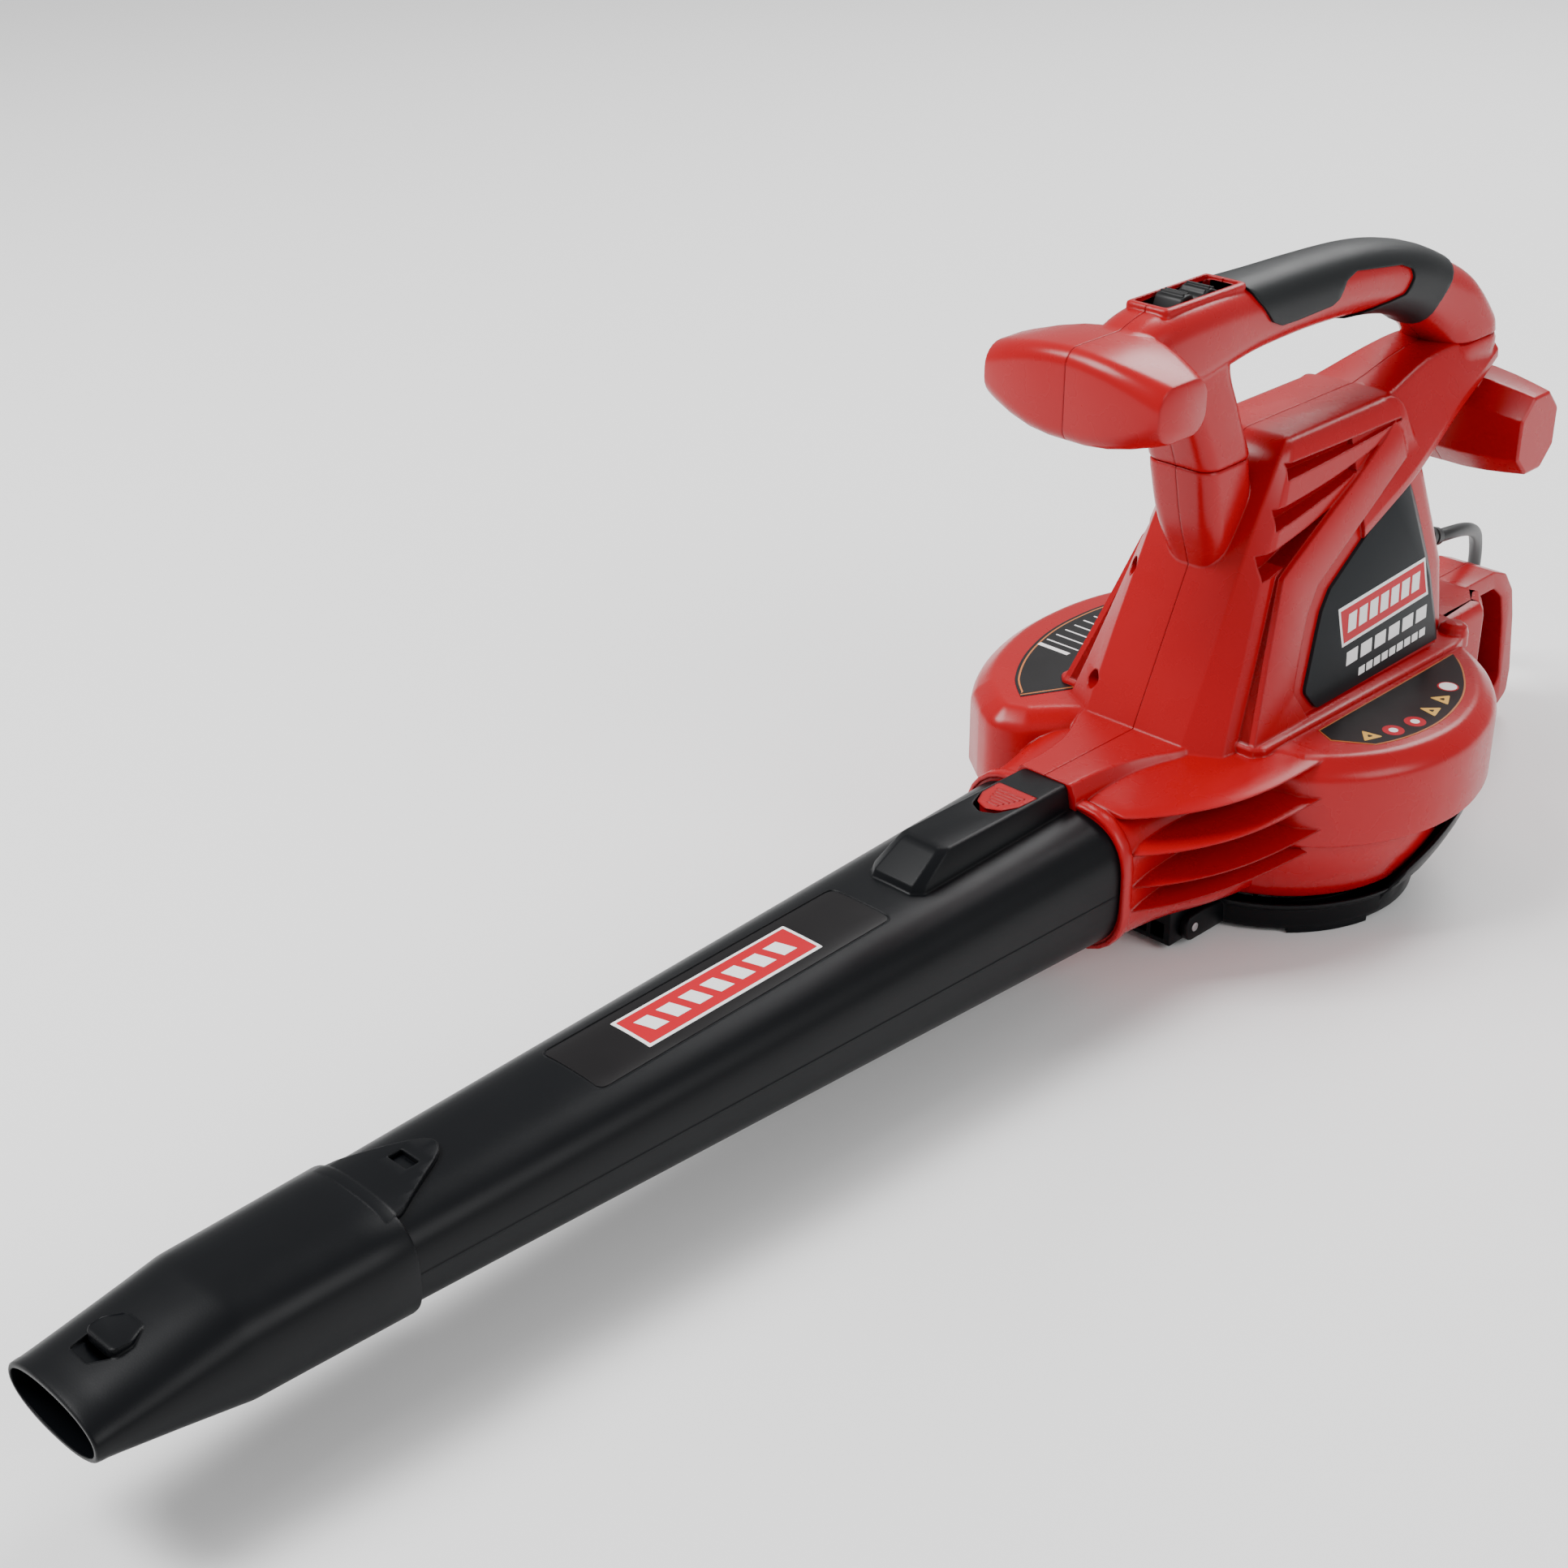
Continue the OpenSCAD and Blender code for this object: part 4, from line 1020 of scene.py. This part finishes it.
def build_tube_badge():
    """Dark label film with a red bar, a white line round it and plain blocks on it."""
    layers = []
    for half_w, low, high, lift, material in ((18.6, -480, -304, -0.22, FILM_BLACK),
                                              (12.6, -447, -342, -0.08, FILM_WHITE),
                                              (10.9, -445.2, -343.8, 0.04, FILM_RED)):
        film = skin("film", [tube_ring(y, lift) for y in LABEL_Y], material)
        core = skin("core", [tube_ring(y, -0.8) for y in np.linspace(-500, -280, 20)], material)
        cut(film, core)
        radius = 4 if half_w > 15 else 0.6
        corners = [(-half_w, low), (half_w, low), (half_w, high), (-half_w, high)]
        layers.append(common(film, prism("window", fillet(corners, radius, 5), 70, 110, "z", material)))
    blocks = [[(-5.4, y), (5.4, y + 3), (5.4, y + 11), (-5.4, y + 8)] for y in range(-440, -356, 13)]
    film = skin("film", [tube_ring(y, 0.14) for y in LABEL_Y], FILM_WHITE)
    layers.append(common(film, join("row", [prism("block", b, 80, 110, "z", FILM_WHITE) for b in blocks])))
    settle(join("tube_label", layers), "blower_tube", "badge", "tube_badge", angle=20)


def nozzle_ring(y, grow):
    """Ring of the nozzle: a sleeve over the tube, then a cone that flattens to the mouth."""
    ys = (-727, -700, -667, -662, -640, -588)
    w = np.interp(y, ys, (30.4, 32.1, 34.2, 34.5, 35.0, tube_w(-588) + 2.7))
    h = np.interp(y, ys, (12.2, 17.8, 24.4, 25.0, 25.4, tube_h(-588) + 2.7))
    return oval_ring(y, TUBE_Z, w + grow, h + grow, np.interp(y, ys, (2.2, 2.4, 2.6, 2.7, 2.75, 2.85)))


def build_nozzle():
    outer = [nozzle_ring(y, g) for y, g in ((-588, -1.2), (-588.6, -0.3), (-590, 0))]
    outer += [nozzle_ring(y, 0) for y in (-606, -622, -640, -652, -660, -663, -665.5, -668, -680, -692,
                                          -704, -716, -722)]
    outer += [nozzle_ring(y, g) for y, g in ((-724.6, 0.25), (-726.4, 0.2), (-727, -0.5))]
    inner = [nozzle_ring(y, g) for y, g in ((-727, -1.9), (-700, -2.2), (-664, -2.2), (-642, -2.2),
                                            (-588, -2.25))]
    shell = skin("nozzle_shell", outer + inner, BLACK, loop=True)
    tongue = skin("tongue", [tube_ring(y, 2.5) for y in np.linspace(-606, -544, 9)], BLACK)
    cut(tongue, skin("under", [tube_ring(y, 0.4) for y in np.linspace(-608, -542, 9)], BLACK))
    outline = fillet([(-24, -594), (24, -594), (22, -584), (0, -541), (-22, -584)], [1, 1, 8, 13, 8], 9)
    common(tongue, prism("tongue_plan", outline, 70, 110, "z", BLACK))
    cut(tongue, prism("slot", rrect_at(0, -567, 6, 3.4, 1), 70, 110, "z", BLACK))
    bevel(tongue, 0.5, 2, 40)
    pocket = fillet([(-9.5, -712), (3, -712), (9.5, -703), (-9.5, -703)], 1.5, 4)
    cut(shell, prism("pocket", pocket, 74.3, 90, "z", BLACK))
    parts = [shell, tongue, nozzle_nub()]
    settle(join("flat_nozzle", parts), "mouthpiece", "black_shell", "nozzle")


def nozzle_nub():
    """Raised lug on the cone, sloping back from its front edge."""
    def cone(y):
        return 60 + float(np.interp(y, (-727, -700, -667), (12.2, 17.8, 24.4)))
    outline = fillet([(-9, -705), (9, -705), (10, -697), (5.5, -689), (-5.5, -689), (-10, -697)], 3, 5)
    low = [(x, y, cone(y) - 2) for x, y in outline]
    high = [(x, y, cone(y) + 3.2 * np.clip((y + 689) / -13, 0.1, 1)) for x, y in outline]
    lug = skin("lug", [low, high], BLACK)
    return bevel(lug, 0.6, 2, 35)


# ---------------------------------------------------------------- intake cover


def skirt_top(a):
    """Height of the cover's wall at angle a, in degrees, round the fan axis."""
    y = 92 * math.sin(math.radians(a))
    if math.cos(math.radians(a)) < -0.2 or y > -12:
        return float(np.clip(22 + (y + 20) * 1.1, 19.5, 60))
    return 19.5


def cover_radius(z):
    return float(np.interp(z, (2.5, 14, 22, 33, 46, 60), (80, 80.6, 88, 94, 100, 105)))


def build_cover():
    rings = []
    for k in range(240):
        a = 1.5 * k
        top = skirt_top(a)
        heights = [2.5 + (top - 2.5) * j / 9 for j in range(10)]
        out = [(cover_radius(z) - (0.8 if j == 0 else 0), z) for j, z in enumerate(heights)]
        out[-1] = (cover_radius(top) - 0.5, top + 0.2)
        back = [(cover_radius(z) - 2.8, z) for z in heights[::-1][:8]] + [(77.4, 6), (66.5, 6), (66.5, 12),
                                                                         (64, 12), (64, 2.5)]
        c, s = math.cos(math.radians(a)), math.sin(math.radians(a))
        rings.append([(FAN_X + r * c, r * s, z) for r, z in out + back])
    parts = [skin("cover_wall", rings, BLACK, loop=True)]
    for a in (-30, 90, 210):
        profile = ((69.5, 0), (79.2, 0), (79.9, 0.6), (80, 4), (69, 4), (69, 0.5))
        pad = lathe("foot", profile, (FAN_X, 0), 32, BLACK, a - 16.5, a + 16.5)
        parts.append(pad)
    for x in (FAN_X - 27, FAN_X + 22.5):
        corners = [(-108.3, 4), (-108.3, 18.2), (-94, 18.4), (-72, 16), (-72, 3.2)]
        outline = fillet(corners, [7, 7, 4, 1, 1], 7)
        parts.append(bevel(prism("ear", outline, x, x + 4.5, "x", BLACK), 0.6, 2, 40))
    settle(join("intake_cover_shell", parts), "cover", "black_shell", "intake_cover")


def build_hinge_block():
    outline = fillet([(-116, 3.2), (-96.5, 3.2), (-96.5, 23.5), (-116, 23.5)], 1.2, 4)
    block = prism("hinge_block_body", outline, FAN_X - 21.9, FAN_X + 21.9, "x", BLACK)
    bevel(block, 0.7, 2)
    for k, x in enumerate((-18.5, -9.2, 0.4, 9.8)):
        cut(block, prism("slot", [(-118, 6.5), (-108.5, 6.5), (-108.5, 15.5), (-118, 15.5)], FAN_X + x,
                         FAN_X + x + (7 if k < 3 else 8.5), "x", BLACK))
    settle(block, "housing", "black_shell", "hinge_block")
    pin = rod("hinge_pin_rod", (FAN_X - 27.4, -101, 11), (FAN_X + 27.4, -101, 11), 2.5, 40, STEEL)
    bevel(pin, 0.4, 2)
    settle(pin, "housing", "steel", "hinge_pin")


# ---------------------------------------------------------------- cord

ROUTE = ((0, 182, 131), (0, 195, 129.5), (-2, 212, 126), (-6, 230, 120), (-12, 248, 111),
         (-19, 264, 99), (-25, 277, 84), (-30, 286, 67), (-34, 291, 50), (-39, 294, 34), (-48, 295, 19),
         (-62, 294, 8.5), (-80, 291, 4.5), (-100, 287, 4.5), (-120, 281, 5.5), (-140, 273, 9),
         (-158, 264, 12.2))
CORD_D = 8.0


def build_cord():
    keys = [np.array([p], float) for p in ROUTE]
    points = [place(p[0]) for p in between(keys, 4)]
    curve = bpy.data.curves.new("supply_cord", "CURVE")
    curve.dimensions = "3D"
    curve.bevel_depth = CORD_D / 2 * MM
    curve.bevel_resolution = 6
    curve.use_fill_caps = True
    spline = curve.splines.new("POLY")
    spline.points.add(len(points) - 1)
    for point, centre in zip(spline.points, points):
        point.co = (*centre, 1)
    spline.use_smooth = True
    curve.materials.append(CORD_RUBBER)
    cord = bpy.data.objects.new("supply_cord", curve)
    scene.collection.objects.link(cord)
    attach(cord, "housing")
    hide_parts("cord")
    plug = build_plug()


def build_plug():
    """Ribbed plug at the end of the cord, turned to the direction of its last stretch."""
    profile = [(0, 0), (5.4, 0)]
    for k in range(4):
        r = 5.6 + 0.5 * k
        profile += [(r + 0.5, 1.2 + 3 * k), (r + 0.5, 2.8 + 3 * k), (r - 0.3, 3.2 + 3 * k)]
    profile += [(8.6, 14.2), (11, 16), (12, 19), (12, 38.6), (11.4, 39.6), (10.4, 40), (0, 40)]
    turn = math.radians(207)
    along = np.array((math.cos(turn), math.sin(turn), 0))
    across = np.array((-math.sin(turn), math.cos(turn), 0))
    rings = []
    for k in range(48):
        a = 2 * math.pi * k / 48
        out = math.cos(a) * across + math.sin(a) * np.array((0, 0, 1))
        rings.append([np.array(ROUTE[-1]) + along * z + out * r for r, z in profile])
    body = skin("plug_grip", rings, CORD_RUBBER, loop=True)
    return settle(body, "housing", "cord_rubber", "plug_body")


def build_strain_relief():
    """Tapered relief with grooves, leaving the rear of the motor housing."""
    start = np.array((0, 126.5, 145.4))
    lean = math.radians(14.2)
    d = np.array((0, math.cos(lean), -math.sin(lean)))
    up = np.array((0, math.sin(lean), math.cos(lean)))
    rings = []
    profile = [(-2, 8.4), (0, 8.6), (6, 8.4), (7.5, 7.6)]
    for k in range(7):
        s = 9 + 6 * k
        r = 7.5 - 0.25 * k
        profile += [(s, r), (s + 3.4, r - 0.1), (s + 3.8, r - 1.0), (s + 5.4, r - 1.1), (s + 5.8, r - 0.2)]
    profile += [(52, 5.7), (56.3, 5.3), (57.1, 4.7)]
    for s, r in profile:
        rings.append([start + d * s + r * (math.cos(a) * np.array((1, 0, 0)) + math.sin(a) * up)
                      for a in np.linspace(0, 2 * math.pi, 41)[:-1]])
    relief = skin("relief_taper", rings, CORD_RUBBER)
    flange = rod("flange", (0, 118.2, 146), (0, 128.2, 146), 9.6, 40, CORD_RUBBER)
    settle(join("strain_relief_boot", [relief, flange]), "housing", "cord_rubber", "strain_relief")


# ---------------------------------------------------------------- carried-over CAD nodes

CAD_LOOKS = {
    "switch_body": BLACK_FINE, "intake_grille": BLACK, "motor_base": DARK_METAL, "stator": IRON,
    "field_coils": COPPER, "brush_holders": BRASS, "top_bracket": DARK_METAL, "rotor": IRON,
    "commutator": COPPER, "shaft": STEEL, "bearing_lower": STEEL, "bearing_upper": STEEL,
    "impeller": BLACK, "impeller_nut": STEEL, "button_spring": STEEL, "plug_blades": BRASS,
    "housing_screws": STEEL,
}


def dress_cad_nodes():
    for node, material in CAD_LOOKS.items():
        NODES[node].data.materials.clear()
        NODES[node].data.materials.append(material)


build_cord()
build_strain_relief()
build_housing()
build_drum()
build_handle()
build_grip()
build_rocker()
build_panels()
build_side_badge()
build_plates()
build_tube()
build_button()
build_tube_badge()
build_nozzle()
build_cover()
build_hinge_block()
dress_cad_nodes()
